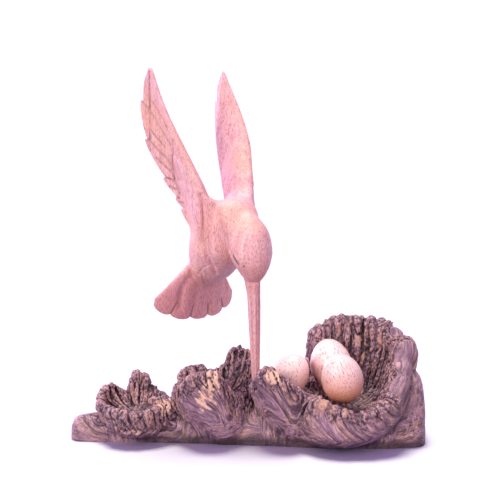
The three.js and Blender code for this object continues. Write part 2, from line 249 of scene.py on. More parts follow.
class Clay:
    """A mesh being modelled, with its points as rows of millimetres."""

    def __init__(self, piece: bpy.types.Object) -> None:
        """Takes up an object."""
        self.piece = piece

    @property
    def points(self) -> np.ndarray:
        """The places of its points.

        Returns:
            One row of three coordinates for each point.
        """
        flat = np.empty(len(self.piece.data.vertices) * 3)
        self.piece.data.vertices.foreach_get("co", flat)
        return flat.reshape(-1, 3)

    @points.setter
    def points(self, places: np.ndarray) -> None:
        """Moves its points."""
        self.piece.data.vertices.foreach_set("co", places.ravel())
        self.piece.data.update()

    @property
    def normals(self) -> np.ndarray:
        """Which way the skin faces at each point.

        Returns:
            One row, a unit long, for each point.
        """
        flat = np.empty(len(self.piece.data.vertices) * 3)
        self.piece.data.vertex_normals.foreach_get("vector", flat)
        return flat.reshape(-1, 3)

    def push(self, outward: np.ndarray) -> None:
        """Moves each point straight out of the skin by its own distance."""
        self.points = self.points + self.normals * outward[:, None]

    def modify(self, kind: str, **settings: object) -> None:
        """Adds a modifier and applies it.

        Args:
            kind: The modifier's type name.
            settings: Its settings by name.
        """
        select_only(self.piece)
        modifier = self.piece.modifiers.new(kind.title(), kind)
        for name, value in settings.items():
            setattr(modifier, name, value)
        bpy.ops.object.modifier_apply(modifier=modifier.name)

    def smooth(self, weight: np.ndarray, rounds: int) -> None:
        """Smooths the skin where a weight says so.

        Args:
            weight: How strongly each point is smoothed, from 0 to 1.
            rounds: How many times.
        """
        group = self.piece.vertex_groups.new(name="smooth")
        levels = np.round(weight * 20).astype(int)
        for level in range(1, 21):
            group.add(np.flatnonzero(levels == level).tolist(), level / 20, "REPLACE")
        self.modify("SMOOTH", factor=0.5, iterations=rounds, vertex_group=group.name)
        self.piece.vertex_groups.clear()

    def thin(self, triangles: int) -> None:
        """Leaves at most so many triangles, with most of them where the skin bends.

        Args:
            triangles: The most triangles that it may keep.
        """
        self.modify("TRIANGULATE")
        ratio = triangles / len(self.piece.data.polygons)
        if ratio < 1:
            self.modify("DECIMATE", ratio=ratio)

    def cut(self, cutter: bpy.types.Object) -> None:
        """Takes away what lies inside another object, which is then removed."""
        self.modify("BOOLEAN", operation="DIFFERENCE", solver="MANIFOLD", object=cutter)
        bpy.data.objects.remove(cutter)

    def saw(self, at: tuple[float, float, float], keep: tuple[float, float, float]) -> None:
        """Saws it through a point, leaves the side that `keep` points to and closes the cut.

        Args:
            at: A point on the cut.
            keep: The way from the cut to the side that is kept.
        """
        select_only(self.piece)
        bpy.ops.object.mode_set(mode="EDIT")
        bpy.ops.mesh.select_all(action="SELECT")
        bpy.ops.mesh.bisect(plane_co=at, plane_no=keep, use_fill=True, clear_inner=True)
        bpy.ops.object.mode_set(mode="OBJECT")

    def cavity(self, rounds: int) -> np.ndarray:
        """How far each point lies below the skin as it would be if it were smoothed.

        Args:
            rounds: How many times the skin is smoothed; more of them find wider hollows.

        Returns:
            Millimetres for each point, above 0 in hollows.
        """
        edges = np.empty(len(self.piece.data.edges) * 2, np.int64)
        self.piece.data.edges.foreach_get("vertices", edges)
        ends = np.concatenate([edges.reshape(-1, 2), edges.reshape(-1, 2)[:, ::-1]])
        places = self.points
        count = np.maximum(np.bincount(ends[:, 0], minlength=len(places)), 1)
        smoothed = places.copy()
        for _ in range(rounds):
            sums = [np.bincount(ends[:, 0], smoothed[ends[:, 1], axis], len(places)) for axis in range(3)]
            smoothed = 0.4 * smoothed + 0.6 * np.stack(sums, axis=1) / count[:, None]
        return ((smoothed - places) * self.normals).sum(axis=1)

    def mark(self, name: str, values: np.ndarray) -> None:
        """Stores a number for each point, which a finish reads by name."""
        layer = self.piece.data.attributes.new(name, "FLOAT", "POINT")
        layer.data.foreach_set("value", np.ascontiguousarray(values, np.float32))

    def mark_rows(self, name: str, rows: np.ndarray) -> None:
        """Stores three numbers for each point, which a finish reads by name."""
        layer = self.piece.data.attributes.new(name, "FLOAT_VECTOR", "POINT")
        layer.data.foreach_set("vector", np.ascontiguousarray(rows, np.float32).ravel())

    def finish(self, angle: float) -> bpy.types.Object:
        """Moves the mesh to the frame, in metres, and shades it smooth.

        Args:
            angle: Degrees between faces above which an edge stays sharp.

        Returns:
            The finished object.
        """
        self.points = (self.points + FRAME_SHIFT) * MM
        select_only(self.piece)
        bpy.ops.object.shade_smooth_by_angle(angle=math.radians(angle))
        return self.piece


def ball(name: str, around: int, rings: int, place: Place) -> Clay:
    """Makes a closed skin from a round blank.

    Args:
        name: The new object's name.
        around: How many columns it has.
        rings: How many rings of faces it has from pole to pole.
        place: Gives the points for turns of 0 to 1 and for shares of 0 to 1 from one pole to the other.

    Returns:
        The skin, with its faces outwards.
    """
    bpy.ops.object.select_all(action="DESELECT")
    bpy.ops.mesh.primitive_uv_sphere_add(segments=around, ring_count=rings, radius=1.0)
    clay = Clay(bpy.context.object)
    clay.piece.name = name
    x, y, z = clay.points.T
    turn = np.round(np.arctan2(y, x) / math.tau * around) / around
    ring = np.round(np.arccos(np.clip(z, -1.0, 1.0)) / math.pi * rings)
    clay.points = place(np.mod(turn, 1.0), ring / rings)
    face_outwards(clay.piece)
    return clay


def slab(name: str, columns: int, rows: int, place: Place) -> Clay:
    """Makes a closed plate from a flat grid that is extruded.

    Args:
        name: The new object's name.
        columns: How many faces it has one way.
        rows: How many faces it has the other way.
        place: Gives the points for shares of 0 to 1 along both ways and for a side of -1 or 1.

    Returns:
        The plate, with its faces outwards.
    """
    bpy.ops.object.select_all(action="DESELECT")
    bpy.ops.mesh.primitive_grid_add(x_subdivisions=columns, y_subdivisions=rows, size=1.0)
    clay = Clay(bpy.context.object)
    clay.piece.name = name
    bpy.ops.object.mode_set(mode="EDIT")
    bpy.ops.mesh.select_all(action="SELECT")
    bpy.ops.mesh.extrude_region_move(TRANSFORM_OT_translate={"value": (0.0, 0.0, 1.0)})
    bpy.ops.object.mode_set(mode="OBJECT")
    x, y, z = clay.points.T
    column = np.round((x + 0.5) * columns) / columns
    row = np.round((y + 0.5) * rows) / rows
    clay.points = place(column, row, np.where(z > 0.5, 1.0, -1.0))
    face_outwards(clay.piece)
    return clay


def face_outwards(piece: bpy.types.Object) -> None:
    """Turns every face of a closed mesh outwards.

    Args:
        piece: The object.
    """
    select_only(piece)
    bpy.ops.object.mode_set(mode="EDIT")
    bpy.ops.mesh.select_all(action="SELECT")
    bpy.ops.mesh.normals_make_consistent(inside=False)
    bpy.ops.object.mode_set(mode="OBJECT")


def fused(name: str, parts: Sequence[Clay], voxel: float) -> Clay:
    """Joins overlapping closed skins into one skin of even faces.

    Args:
        name: The new object's name.
        parts: The skins, which are used up.
        voxel: The size of the new faces.

    Returns:
        The single skin.
    """
    bpy.ops.object.select_all(action="DESELECT")
    for part in parts:
        part.piece.select_set(True)
    bpy.context.view_layer.objects.active = parts[0].piece
    bpy.ops.object.join()
    whole = Clay(bpy.context.object)
    whole.piece.name = name
    whole.piece.data.name = name
    whole.modify("REMESH", mode="VOXEL", voxel_size=voxel, use_smooth_shade=True)
    return whole


# The bird


@dataclass(frozen=True)
class OvalBody:
    """A body of oval sections down a line in the bird's middle plane."""

    name: str
    stations: tuple[tuple[float, float, float, float], ...]  # forward, up, half depth and half width of each

    def build(self, around: int = 72, rings: int = 64, grow: float = 0.0) -> Clay:
        """Builds the body.

        Args:
            around: How many columns it has.
            rings: How many rings it has.
            grow: How much larger it is all round.

        Returns:
            The closed skin, in the bird's frame.
        """
        middle = Line([(forward, 0.0, up) for forward, up, _, _ in self.stations])
        size = Line([(deep + grow, wide + grow) for _, _, deep, wide in self.stations])

        def place(turn: np.ndarray, share: np.ndarray) -> np.ndarray:
            """Lays the rings across the line, and both poles in its ends.

            Args:
                turn: Turns of 0 to 1.
                share: Shares of 0 to 1 from one pole to the other.

            Returns:
                Points in the bird's frame.
            """
            along = (share * rings - 1) / (rings - 2)
            inside = (along >= 0) & (along <= 1)
            along = np.clip(along, 0.0, 1.0)
            run = middle.at(along + 0.01) - middle.at(along - 0.01)
            run /= np.linalg.norm(run, axis=1, keepdims=True)
            deep, wide = (size.at(along) * inside[:, None]).T
            across = np.stack([-run[:, 2], np.zeros(len(run)), run[:, 0]], axis=1)
            points = middle.at(along) + across * (deep * np.cos(math.tau * turn))[:, None]
            points[:, 1] += wide * np.sin(math.tau * turn)
            return points

        return ball(self.name, around, rings, place)


@dataclass(frozen=True)
class WingStation:
    """One station along the left wing, where one feather gives way to the next."""

    lead: tuple[float, float, float]
    trail: tuple[float, float, float]
    half: float  # half the thickness of the muscled front part
    share: float  # the part of the chord that the muscled part takes


@dataclass(frozen=True)
class Groove:
    """A line cut into the wood."""

    route: tuple[tuple[float, float], ...]
    width: float = 0.7
    depth: float = 0.8


@dataclass(frozen=True)
class WingEdge:
    """The trailing edge of one wing."""

    step: float  # how far each feather's end stands out past the start of the next
    tip_step: float
    drawn_in: float  # how far the tip feather lies outside those before it
    belly: float  # how full the feathers' outer edges are
    lap: float  # how far each feather stands proud of the next on both faces
    camber: float  # how far the wing bulges inwards where it is free; every root bulges alike

    def inset(self, span: np.ndarray, along: np.ndarray, longest: int) -> np.ndarray:
        """Finds how far inside the line of the stations the edge lies.

        Args:
            span: The place among the stations.
            along: How far along its own feather each point is, from 0 to 1.
            longest: The station where the tip feather starts.

        Returns:
            Millimetres for each point.
        """
        free = smooth_step(span, 1, 2) * smooth_step(span, 7, 6)
        step = np.where(span < longest, self.step, self.tip_step)
        return step * (1 - along) + self.drawn_in * free - self.belly * np.sin(math.pi * along)


@dataclass(frozen=True)
class Wing:
    """A raised wing: the left one, or its mirror image on the right."""

    stations: tuple[WingStation, ...] = (
        WingStation((-34, 11, 140), (-64, 11, 142), 10, 1),
        WingStation((-30.5, 19, 170), (-63.5, 20, 169), 12, 1),
        WingStation((-31, 23.5, 184), (-66.5, 23.5, 183.5), 10.5, 1),
        WingStation((-31.9, 24.4, 191), (-71.5, 25.5, 191.5), 8.8, 0.97),
        WingStation((-34, 25.5, 201), (-82.3, 30, 207), 7, 0.76),
        WingStation((-40.8, 29.6, 216), (-97, 37, 237), 5, 0.5),
        WingStation((-50, 35, 234), (-99, 38.6, 267), 3.4, 0.32),
        WingStation((-65.4, 38.4, 258), (-95, 38.1, 281), 2, 0.15),
        WingStation((-86, 38.2, 290), (-88, 38.2, 291.5), 0.8, 0.1),
    )
    first_feather: int = 1
    feather_half: float = 1.3  # half the thickness of the feathers
    left_edge: WingEdge = WingEdge(step=0.5, tip_step=2.6, drawn_in=1.2, belly=0.0, lap=0.0, camber=7.5)
    right_edge: WingEdge = WingEdge(step=3.4, tip_step=3.4, drawn_in=0.0, belly=1.2, lap=0.6, camber=4.6)
    fold: float = 0.76  # share of the chord where the wing bulges most
    root_camber: float = 4.6
    right_from: float = 180.0  # height from which the right wing is longer, and by how much
    right_by: float = 1.06
    # Lines cut into the outer face, each a route of (station, share of the chord)
    grooves: tuple[Groove, ...] = (
        Groove(
            (
                (7.9, 0.5),
                (7.68, 0.68),
                (7.34, 0.78),
                (7.01, 0.81),
                (6.26, 0.85),
                (5.91, 0.83),
                (5.32, 0.9),
                (4.7, 0.97),
            ),
        ),
        Groove(((5.9, 0.2), (5.46, 0.37), (4.76, 0.55), (4.3, 0.76), (3.94, 0.8), (3.32, 0.84)), 0.8, 0.9),
        Groove(((5.98, 0.99), (5.86, 0.83), (5.63, 0.66), (5.32, 0.47))),
        Groove(((5.0, 0.99), (4.97, 0.91), (4.76, 0.8), (4.53, 0.67))),
        Groove(((4.0, 0.99), (3.99, 0.86), (3.89, 0.79))),
        Groove(((6.37, 0.78), (6.16, 0.53), (5.75, 0.28)), 0.6, 0.7),
        Groove(((5.33, 0.89), (5.02, 0.71)), 0.6, 0.7),
        Groove(((4.55, 0.92), (4.25, 0.79)), 0.6, 0.7),
        Groove(((3.6, 0.96), (3.5, 0.83)), 0.6, 0.6),
        Groove(((3.06, 0.99), (3.02, 0.93)), 0.6, 0.6),
        Groove(((2.66, 0.9), (2.65, 0.79)), 0.6, 0.6),
    )

    def surface(
        self, is_left: bool, span: np.ndarray, along: np.ndarray, chord: np.ndarray, face: np.ndarray
    ) -> np.ndarray:
        """Finds points on a wing.

        Args:
            is_left: Whether it is the left wing.
            span: The place among the stations.
            along: How far along its own feather each point is, from 0 to 1.
            chord: The share of the chord, from the leading edge.
            face: 1 on the outer face and -1 on the inner one.

        Returns:
            Points in the bird's frame.
        """
        share = span / (len(self.stations) - 1)
        lead = Line([station.lead for station in self.stations]).at(share)
        trail = Line([station.trail for station in self.stations]).at(share)
        half, part = Line([(station.half, station.share) for station in self.stations]).at(share).T
        back = trail - lead
        back /= np.linalg.norm(back, axis=1, keepdims=True)
        edge = self.left_edge if is_left else self.right_edge
        trail = trail - back * edge.inset(span, along, len(self.stations) - 3)[:, None]
        points = lead + (trail - lead) * chord[:, None]
        tipward = np.minimum(1.0, np.minimum(3 * (1 - share), 5 * share))
        camber = self.root_camber + (edge.camber - self.root_camber) * smooth_step(span, 2.5, 4.5)
        bulge = camber * self.bulge(chord) * tipward
        points[:, 1] += face * self.half_thickness(chord, edge.lap * along, half, part) - bulge
        return points if is_left else self.on_right(points)

    def half_thickness(
        self, chord: np.ndarray, lap: np.ndarray, half: np.ndarray, part: np.ndarray
    ) -> np.ndarray:
        """Finds half the thickness.

        Args:
            chord: The share of the chord, from the leading edge.
            lap: How far the feather stands proud of the next.
            half: Half the thickness of the muscled part.
            part: The share of the chord that the muscled part takes.

        Returns:
            Millimetres for each point.
        """
        across = np.minimum(1.0, chord / part)
        muscle = np.sqrt(np.minimum(1.0, across / 0.3)) * (1 - across**2)
        nose = np.minimum(1.0, 0.45 + chord / 0.1)
        feather = self.feather_half * (1.1 - 0.4 * chord) + lap * np.minimum(1.0, chord / 0.2)
        return feather * nose + np.maximum(0.0, half - self.feather_half) * muscle

    def bulge(self, chord: np.ndarray) -> np.ndarray:
        """Finds how much of its camber the wing has.

        Args:
            chord: The share of the chord, from the leading edge.

        Returns:
            A share of 0 to 1 for each point.
        """
        front = np.sin(math.pi / 2 * np.minimum(1.0, chord / self.fold)) ** 1.2
        behind = np.clip((1 - chord) / (1 - self.fold), 0.0, 1.0)
        return np.where(chord > self.fold, behind, front)

    def on_right(self, points: np.ndarray) -> np.ndarray:
        """Mirrors points of the left wing to the right one, which is a little longer.

        Args:
            points: Rows in the bird's frame.

        Returns:
            As many rows, on the right wing.
        """
        mirrored = points * (1, -1, 1)
        mirrored[:, 2] += np.maximum(0.0, mirrored[:, 2] - self.right_from) * (self.right_by - 1)
        return mirrored

    def rows(self) -> tuple[np.ndarray, np.ndarray]:
        """Sets out the rows of points from the root to the tip, closest where the feathers step.

        Returns:
            The place of each row among the stations, and how far along its own feather it is.
        """
        tip = len(self.stations) - 1
        longest = tip - 2
        spans, alongs = [np.linspace(0, 0.95, 10)], [np.linspace(1, 0.05, 10)]
        for start in range(self.first_feather, longest):
            spans.append(start + np.linspace(0, 0.98, 14))
            alongs.append(np.linspace(0, 0.98, 14))
        spans.append(np.linspace(longest, tip, 40))
        alongs.append(np.linspace(0, 1, 40))
        return np.concatenate(spans), np.concatenate(alongs)

    def build(self, is_left: bool) -> Clay:
        """Builds one wing.

        Args:
            is_left: Whether it is the left wing.

        Returns:
            The closed plate, in the bird's frame.
        """
        spans, alongs = self.rows()
        columns = 56

        def place(column: np.ndarray, row: np.ndarray, side: np.ndarray) -> np.ndarray:
            """Lays the grid on the wing, with its columns closest at the leading edge."""
            step = np.round(row * (len(spans) - 1)).astype(int)
            return self.surface(is_left, spans[step], alongs[step], column**1.5, side)

        return slab("left_wing" if is_left else "right_wing", columns, len(spans) - 1, place)

    def groove_lines(self, is_left: bool) -> list[tuple[Groove, np.ndarray]]:
        """Finds where the cut lines run on one wing's outer face.

        Args:
            is_left: Whether it is the left wing.

        Returns:
            Each groove with its route in the bird's frame.
        """
        lines = []
        longest = len(self.stations) - 3
        for groove in self.grooves:
            span, chord = Line(groove.route).at(np.linspace(0, 1, 24)).T
            along = np.where(span < longest, np.mod(span, 1.0), (span - longest) / 2)
            route = self.surface(is_left, span, along, chord, np.ones(len(span)))
            lines.append((groove, route + (evened(route) - route) * (1, 0, 1)))
        return lines


@dataclass(frozen=True)
class Tail:
    """The spread tail: a fan with a ridge down each feather and a scalloped end."""

    apex: tuple[float, float, float] = (-61.9, 0.0, 155.0)
    pitch: float = 84.4  # degrees that it points down
    roll: float = 4.2  # degrees that it is turned about its own length
    start: float = 18.0  # how far from its apex the plate begins
    length: float = 67.5
    spread: tuple[float, float] = (39.6, 40.6)  # degrees from the middle line to the left and right edges
    longer: tuple[float, float] = (0.05, 0.1)  # how much longer the outer feathers of the left and right are
    feathers: int = 5
    notch: float = 2.6  # how deep the end is scalloped between the feathers
    half: float = 1.9  # half the thickness
    bend: float = 9.2  # how far both edges curl back
    groove_from: float = 0.8  # share of the length where the grooves between the feathers begin

    def surface(self, column: np.ndarray, outward: np.ndarray, side: np.ndarray) -> np.ndarray:
        """Finds points on the tail.

        Args:
            column: The share of the way across the fan.
            outward: The share of the way out to its end.
            side: 1 on the upper face and -1 on the one towards the belly.

        Returns:
            Points in the bird's frame.
        """
        pitch = math.radians(self.pitch)
        down = np.array([-math.cos(pitch), 0.0, -math.sin(pitch)])
        back = np.array([down[2], 0.0, -down[0]])
        across = column * 2 - 1
        edge = np.abs(np.mod(column * self.feathers, 1.0) * 2 - 1)
        spread, longer = (np.where(across < 0, right, left) for left, right in (self.spread, self.longer))
        rounded = 1 + longer * np.abs(across) ** 1.3 - 0.12 * across**8
        end = self.length * rounded - np.where(np.abs(across) < 1, self.notch * edge**3, 0.0)
        reach = self.start + (end - self.start) * outward
        turn = across * np.radians(spread)
        curl = self.bend * (across * (reach / self.length)) ** 2
        thick = self.half * (1.4 - 0.7 * outward) + 0.5 * (1 - edge**2)
        points = down * (reach * np.cos(turn))[:, None] + back * (curl + side * thick)[:, None]
        points[:, 1] += reach * np.sin(turn)
        roll = -math.radians(self.roll)
        y, z = points[:, 1].copy(), points[:, 2].copy()
        points[:, 1] = y * math.cos(roll) - z * math.sin(roll)
        points[:, 2] = y * math.sin(roll) + z * math.cos(roll)
        return points + self.apex

    def build(self) -> Clay:
        """Builds the closed plate, in the bird's frame."""
        return slab("tail", self.feathers * 20, 48, self.surface)

    def groove_lines(self) -> list[tuple[Groove, np.ndarray]]:
        """Finds where the grooves between the feathers run on both faces.

        Returns:
            Each groove with its route in the bird's frame.
        """
        groove = Groove((), 0.75, 0.9)
        outward = np.linspace(self.groove_from, 1.0, 6)
        lines = []
        for feather, side in itertools.product(range(1, self.feathers), (-1.0, 1.0)):
            column = np.full(6, feather / self.feathers)
            lines.append((groove, self.surface(column, outward, np.full(6, side))))
        return lines


@dataclass(frozen=True)
class Fold:
    """A soft valley, or with a depth below 0 a soft ridge, along a route in the bird's frame."""

    route: tuple[tuple[float, float, float], ...]
    width: float
    depth: float
    ink: float = 0.0  # how dark the painted shade along its bottom is
    # The way that the skin faces where it is cut, if it isn't cut all round
    facing: tuple[float, float, float] | None = None
    shade_spread: float = 0.8  # how wide the painted shade along its bottom is

    def on(self, side: int) -> np.ndarray:
        """The route on the right side, at 1, or the left, at -1."""
        return Line(np.array(self.route) * (1, side, 1)).at(np.linspace(0, 1, 16))

    def reach(self, points: np.ndarray, normals: np.ndarray) -> np.ndarray:
        """Finds how far it goes into the skin, on both sides of the bird.

        Args:
            points: Rows in the bird's frame.
            normals: The way that the skin faces at each.

        Returns:
            Millimetres for each point.
        """
        depth = np.zeros(len(points))
        for side in (1, -1):
            near = near_route(points, self.on(side), self.width)
            if self.facing:
                near = near * smooth_step(normals @ (np.array(self.facing) * (1, side, 1)), 0.0, 0.4)
            depth += self.depth * near
        return depth


@dataclass(frozen=True)
class Knob:
    """A round lump in the bird's frame."""

    at: tuple[float, float, float]
    size: tuple[float, float, float]

    def build(self) -> Clay:
        """Builds the closed skin."""
        return ball("shoulder", 40, 24, lambda turn, share: way_out(turn, share) * self.size + self.at)


@dataclass(frozen=True)
class Saddle:
    """The back between the wings, which dips in the middle and sweeps up into both shoulders."""

    forward: float = -39.5
    dip: float = 185.8  # height in the middle
    reach: float = 27.0  # from the middle to each shoulder
    climb: float = 11.5  # how much higher the shoulders are
    deep: float = 11.0  # half its depth
    high: float = 6.0  # half its thickness

    def build(self) -> Clay:
        """Builds the saddle.

        Returns:
            The closed skin, in the bird's frame.
        """

        def place(turn: np.ndarray, share: np.ndarray) -> np.ndarray:
            """Lays the rings from one shoulder to the other.

            Args:
                turn: Turns of 0 to 1.
                share: Shares of 0 to 1 from one pole to the other.

            Returns:
                Points in the bird's frame.
            """
            across = share * 2 - 1
            thick = np.sqrt(np.clip(1 - np.abs(across) ** 8, 0.0, 1.0))
            forward = self.forward + self.deep * thick * np.cos(math.tau * turn)
            up = self.dip + self.climb * np.abs(across) ** 2.2 + self.high * thick * np.sin(math.tau * turn)
            return np.stack([forward, self.reach * across, up], axis=1)

        return ball("saddle", 48, 48, place)


@dataclass(frozen=True)
class Bird:
    """The whole bird."""

    heading: float = -50.0
    foot: tuple[float, float, float] = (4.6, 0.0, 0.0)
    voxel: float = 0.62
    triangles: int = 190_000
    torso: OvalBody = OvalBody(
        "torso",
        (
            (-24, 192, 4, 5),
            (-27, 187, 10, 13),
            (-32, 179, 17, 19),
            (-40, 168, 22.5, 24),
            (-45, 157, 24, 26),
            (-51, 144, 20.3, 24.5),
            (-56, 132, 14.5, 20),
            (-60.5, 123, 7.5, 12),
            (-62.5, 117, 3, 5),
        ),
    )
    nape: OvalBody = OvalBody(
        "nape",
        (
            (-29, 193, 4, 11),
            (-25.5, 188, 9.5, 17),
            (-22, 180, 13.5, 18),
            (-21, 172, 15, 17.5),
            (-21, 163, 12, 13),
        ),
    )
    head: OvalBody = OvalBody(
        "head",
        (
            (-18, 185, 5, 4),
            (-16, 181, 9.5, 8.6),
            (-13, 175, 13.4, 12.6),
            (-9.7, 167, 16.8, 16.6),
            (-7.5, 159, 17.8, 17.8),
            (-5, 151, 17, 17.2),
            (-3.3, 143, 13.9, 14.2),
            (-2.6, 136, 10, 10.4),
            (-2.3, 131, 6, 6.5),
            (-2.2, 128.5, 2.5, 3),
        ),
    )
    bill: OvalBody = OvalBody(
        "bill",
        (
            (0, 28, 3, 3),
            (0, 50, 3.3, 3.3),
            (-0.5, 69, 3.9, 3.9),
            (-1.4, 95, 4.8, 4.8),
            (-2.5, 119, 5.5, 5.3),
            (-3.4, 125, 6.4, 5.6),
            (-4.2, 131, 7, 6),
            (-6.4, 138, 8.4, 6.8),
            (-9.8, 145, 10.2, 7),
        ),
    )
    saddle: Saddle = Saddle()
    shoulder: Knob = Knob((-31, 15.5, 186), (8, 8, 10))
    wing: Wing = Wing()
    tail: Tail = Tail()
    # Folds on the right side; each is cut on the left side too
    folds: tuple[Fold, ...] = (
        # The line down the side, from the shoulder to the legs
        Fold(
            (
                (-34.8, -28.3, 199),
                (-33.8, -28.4, 190.6),
                (-33.1, -27.5, 177.4),
                (-36.3, -25.1, 163.1),
                (-36.2, -21.7, 146.2),
                (-36, -14.5, 135.9),
                (-38.6, -9.5, 130),
            ),
            1.8,
            2.6,
            0.65,
        ),
        # The breast falls away beside that line
        Fold(
            (
                (-31.5, -27, 190),
                (-30, -26.5, 178),
                (-31.8, -25.5, 163.1),
                (-31.5, -22.2, 147.5),
                (-32.5, -14.5, 138),
            ),
            4.5,
            1.3,
        ),
        # The drawn-up feet
        Fold(((-50.9, -18.3, 130.3), (-43.4, -20.2, 136.5), (-37.8, -19, 139.1)), 1.1, 0.6, 0.2),
        Fold(((-45.8, -19.8, 134.2), (-50.8, -13.8, 125.8), (-57.6, -5.8, 118.8)), 1.1, 0.6, 0.25),
        Fold(((-41, -18.6, 134.6), (-47, -13, 126.5), (-51, -8, 122)), 1.0, 0.5, 0.2),
        # Where the head lies against the breast, the gap at its end and the eye
        Fold(((-19.3, -15, 169.7), (-15.5, -14.9, 159.6), (-9.6, -16.7, 154.2)), 1.4, 0.9, 0.25),
        Fold(((-8, -16, 152.5), (-6, -15.6, 149), (-4.6, -14.8, 145.8)), 1.5, 1.6, 1.0, shade_spread=1.3),
        Fold(((1.1, -13.2, 144.9), (1.2, -13, 144.1)), 1.0, 0.9, 1.0),
        # The valley between the tail's outer feathers, and the keel of the belly
        Fold(((-64.5, -20, 124), (-65.5, -24, 114.7), (-67.1, -24.7, 100.9)), 3.2, 1.4, 0.2, (1, 0, 0)),
        Fold(((-42.3, 0, 125.9), (-31, 0, 134.9)), 2.4, -0.9),
        # Lines down the bill
        Fold(((2.8, -1.4, 126), (3.2, -1.2, 95), (3.3, -1, 69), (3, -0.8, 40)), 0.8, 0.5, 0.4),
        Fold(((-0.7, -5.1, 126), (0.6, -4.3, 95), (1.1, -3.5, 69), (1.3, -2.8, 40)), 0.8, 0.5, 0.4),
    )

    def to_carving(self, points: np.ndarray) -> np.ndarray:
        """Turns and moves points from the bird's frame to the carving's.

        Args:
            points: Rows in the bird's frame.

        Returns:
            As many rows, in the carving's frame.
        """
        angle = math.radians(self.heading)
        turned = points.copy()
        turned[:, 0] = points[:, 0] * math.cos(angle) - points[:, 1] * math.sin(angle)
        turned[:, 1] = points[:, 0] * math.sin(angle) + points[:, 1] * math.cos(angle)
        return turned + self.foot

    def blank(self) -> Clay:
        """Roughs out the body and the roots of the wings, with the hollows between them filled.

        Returns:
            The closed skin, in the bird's frame.
        """
        bodies = [body.build() for body in (self.torso, self.nape, self.head)]
        bodies += [self.saddle.build(), self.shoulder.build()]
        clay = fused("blank", [*bodies, self.wing.build(True), self.wing.build(False)], 1.3)
        forward, _, up = clay.points.T
        # The back and both shoulders
        filled = bump(up, 166, 200, 12) * smooth_step(forward, -66, -54)
        clay.smooth(filled, 120)
        # Elsewhere the blank shrinks, so that it stays under the skin of the parts themselves
        clay.push(filled * 0.4 - 0.4)
        # Above the shoulders the wings stand alone
        clay.saw((0, 0, 204), (0, 0, -1))
        return clay

    def blend_joints(self, clay: Clay) -> None:
        """Smooths the creases where the wings, neck and tail grow out of the body.

        Args:
            clay: The bird's skin, in its own frame.
        """
        forward, left, up = clay.points.T
        shoulders = bump(up, 166, 206, 22) * smooth_step(forward, -66, -54)
        neck = bump(up, 160, 196, 8) * smooth_step(forward, -34, -24)
        rump = bump(up, 112, 136, 8) * smooth_step(forward, -48, -58)
        clay.smooth(np.maximum(shoulders, np.maximum(neck, rump)), 90)
        throat = bump(up, 140, 168, 6) * smooth_step(forward, -46, -38)
        clay.smooth(throat, 5)

    def carve(self, clay: Clay) -> None:
        """Cuts the grooves and folds.

        Args:
            clay: The bird's skin, in its own frame.
        """
        points, normals = clay.points, clay.normals
        depth = sum(fold.reach(points, normals) for fold in self.folds)
        for groove, route in self.grooves():
            depth = np.maximum(depth, groove.depth * near_route(points, route, groove.width))
        clay.push(-depth)

    def grooves(self) -> list[tuple[Groove, np.ndarray]]:
        """Every cut line with its route, in the bird's frame."""
        return self.wing.groove_lines(True) + self.wing.groove_lines(False) + self.tail.groove_lines()

    def ink(self, points: np.ndarray) -> np.ndarray:
        """Finds how dark the painted shade along the cuts and folds makes the wood.

        Args:
            points: Rows in the bird's frame.

        Returns:
            From 0 to 1 for each point.
        """
        dark = np.zeros(len(points))
        for fold in self.folds:
            for side in (1, -1):
                dark = np.maximum(dark, fold.ink * near_route(points, fold.on(side), fold.shade_spread))
        for groove, route in self.grooves():
            dark = np.maximum(dark, near_route(points, route, groove.width))
        return dark

    def core(self, points: np.ndarray) -> np.ndarray:
        """Finds how much is darker heartwood: most in the tail, and some in the chin and the bill.

        Args:
            points: Rows in the bird's frame.

        Returns:
            From 0 to 1 for each point.
        """
        forward, left, up = points.T
        uneven = 6 * Scatter(15).layered(points / (9.0, 9.0, 30.0), 2)
        tail = smooth_step(up + uneven, 140, 112) * smooth_step(forward, -30, -44)
        bill = 0.2 * smooth_step(up, 130, 120) * smooth_step(forward, -30, -20)
        chin = 0.45 * bump(up, 128, 138, 14) * smooth_step(forward, -14, -8)
        return np.maximum(tail * (0.75 - 0.5 * smooth_step(left, -16, 4)), np.maximum(bill, chin))

    def build(self, finish: BirdWood) -> bpy.types.Object:
        """Builds and dresses the bird.

        Args:
            finish: The wood that it is carved from.

        Returns:
            The finished piece.
        """
        parts = [self.blank(), *(body.build() for body in (self.torso, self.nape, self.head, self.bill))]
        parts += [self.saddle.build(), self.wing.build(True), self.wing.build(False), self.tail.build()]
        clay = fused("bird_carving", parts, self.voxel)
        self.blend_joints(clay)
        self.carve(clay)
        clay.thin(self.triangles)
        # Painted shade along the cuts and folds, and in small hollows
        clay.mark("ink", np.maximum(self.ink(clay.points), 0.5 * smooth_step(clay.cavity(8), 0.1, 0.7)))
        clay.mark("core", self.core(clay.points))
        clay.points = self.to_carving(clay.points)
        piece = clay.finish(50)
        piece.data.materials.clear()
        piece.data.materials.append(finish.material())
        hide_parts("bird")
        return piece


# The eggs


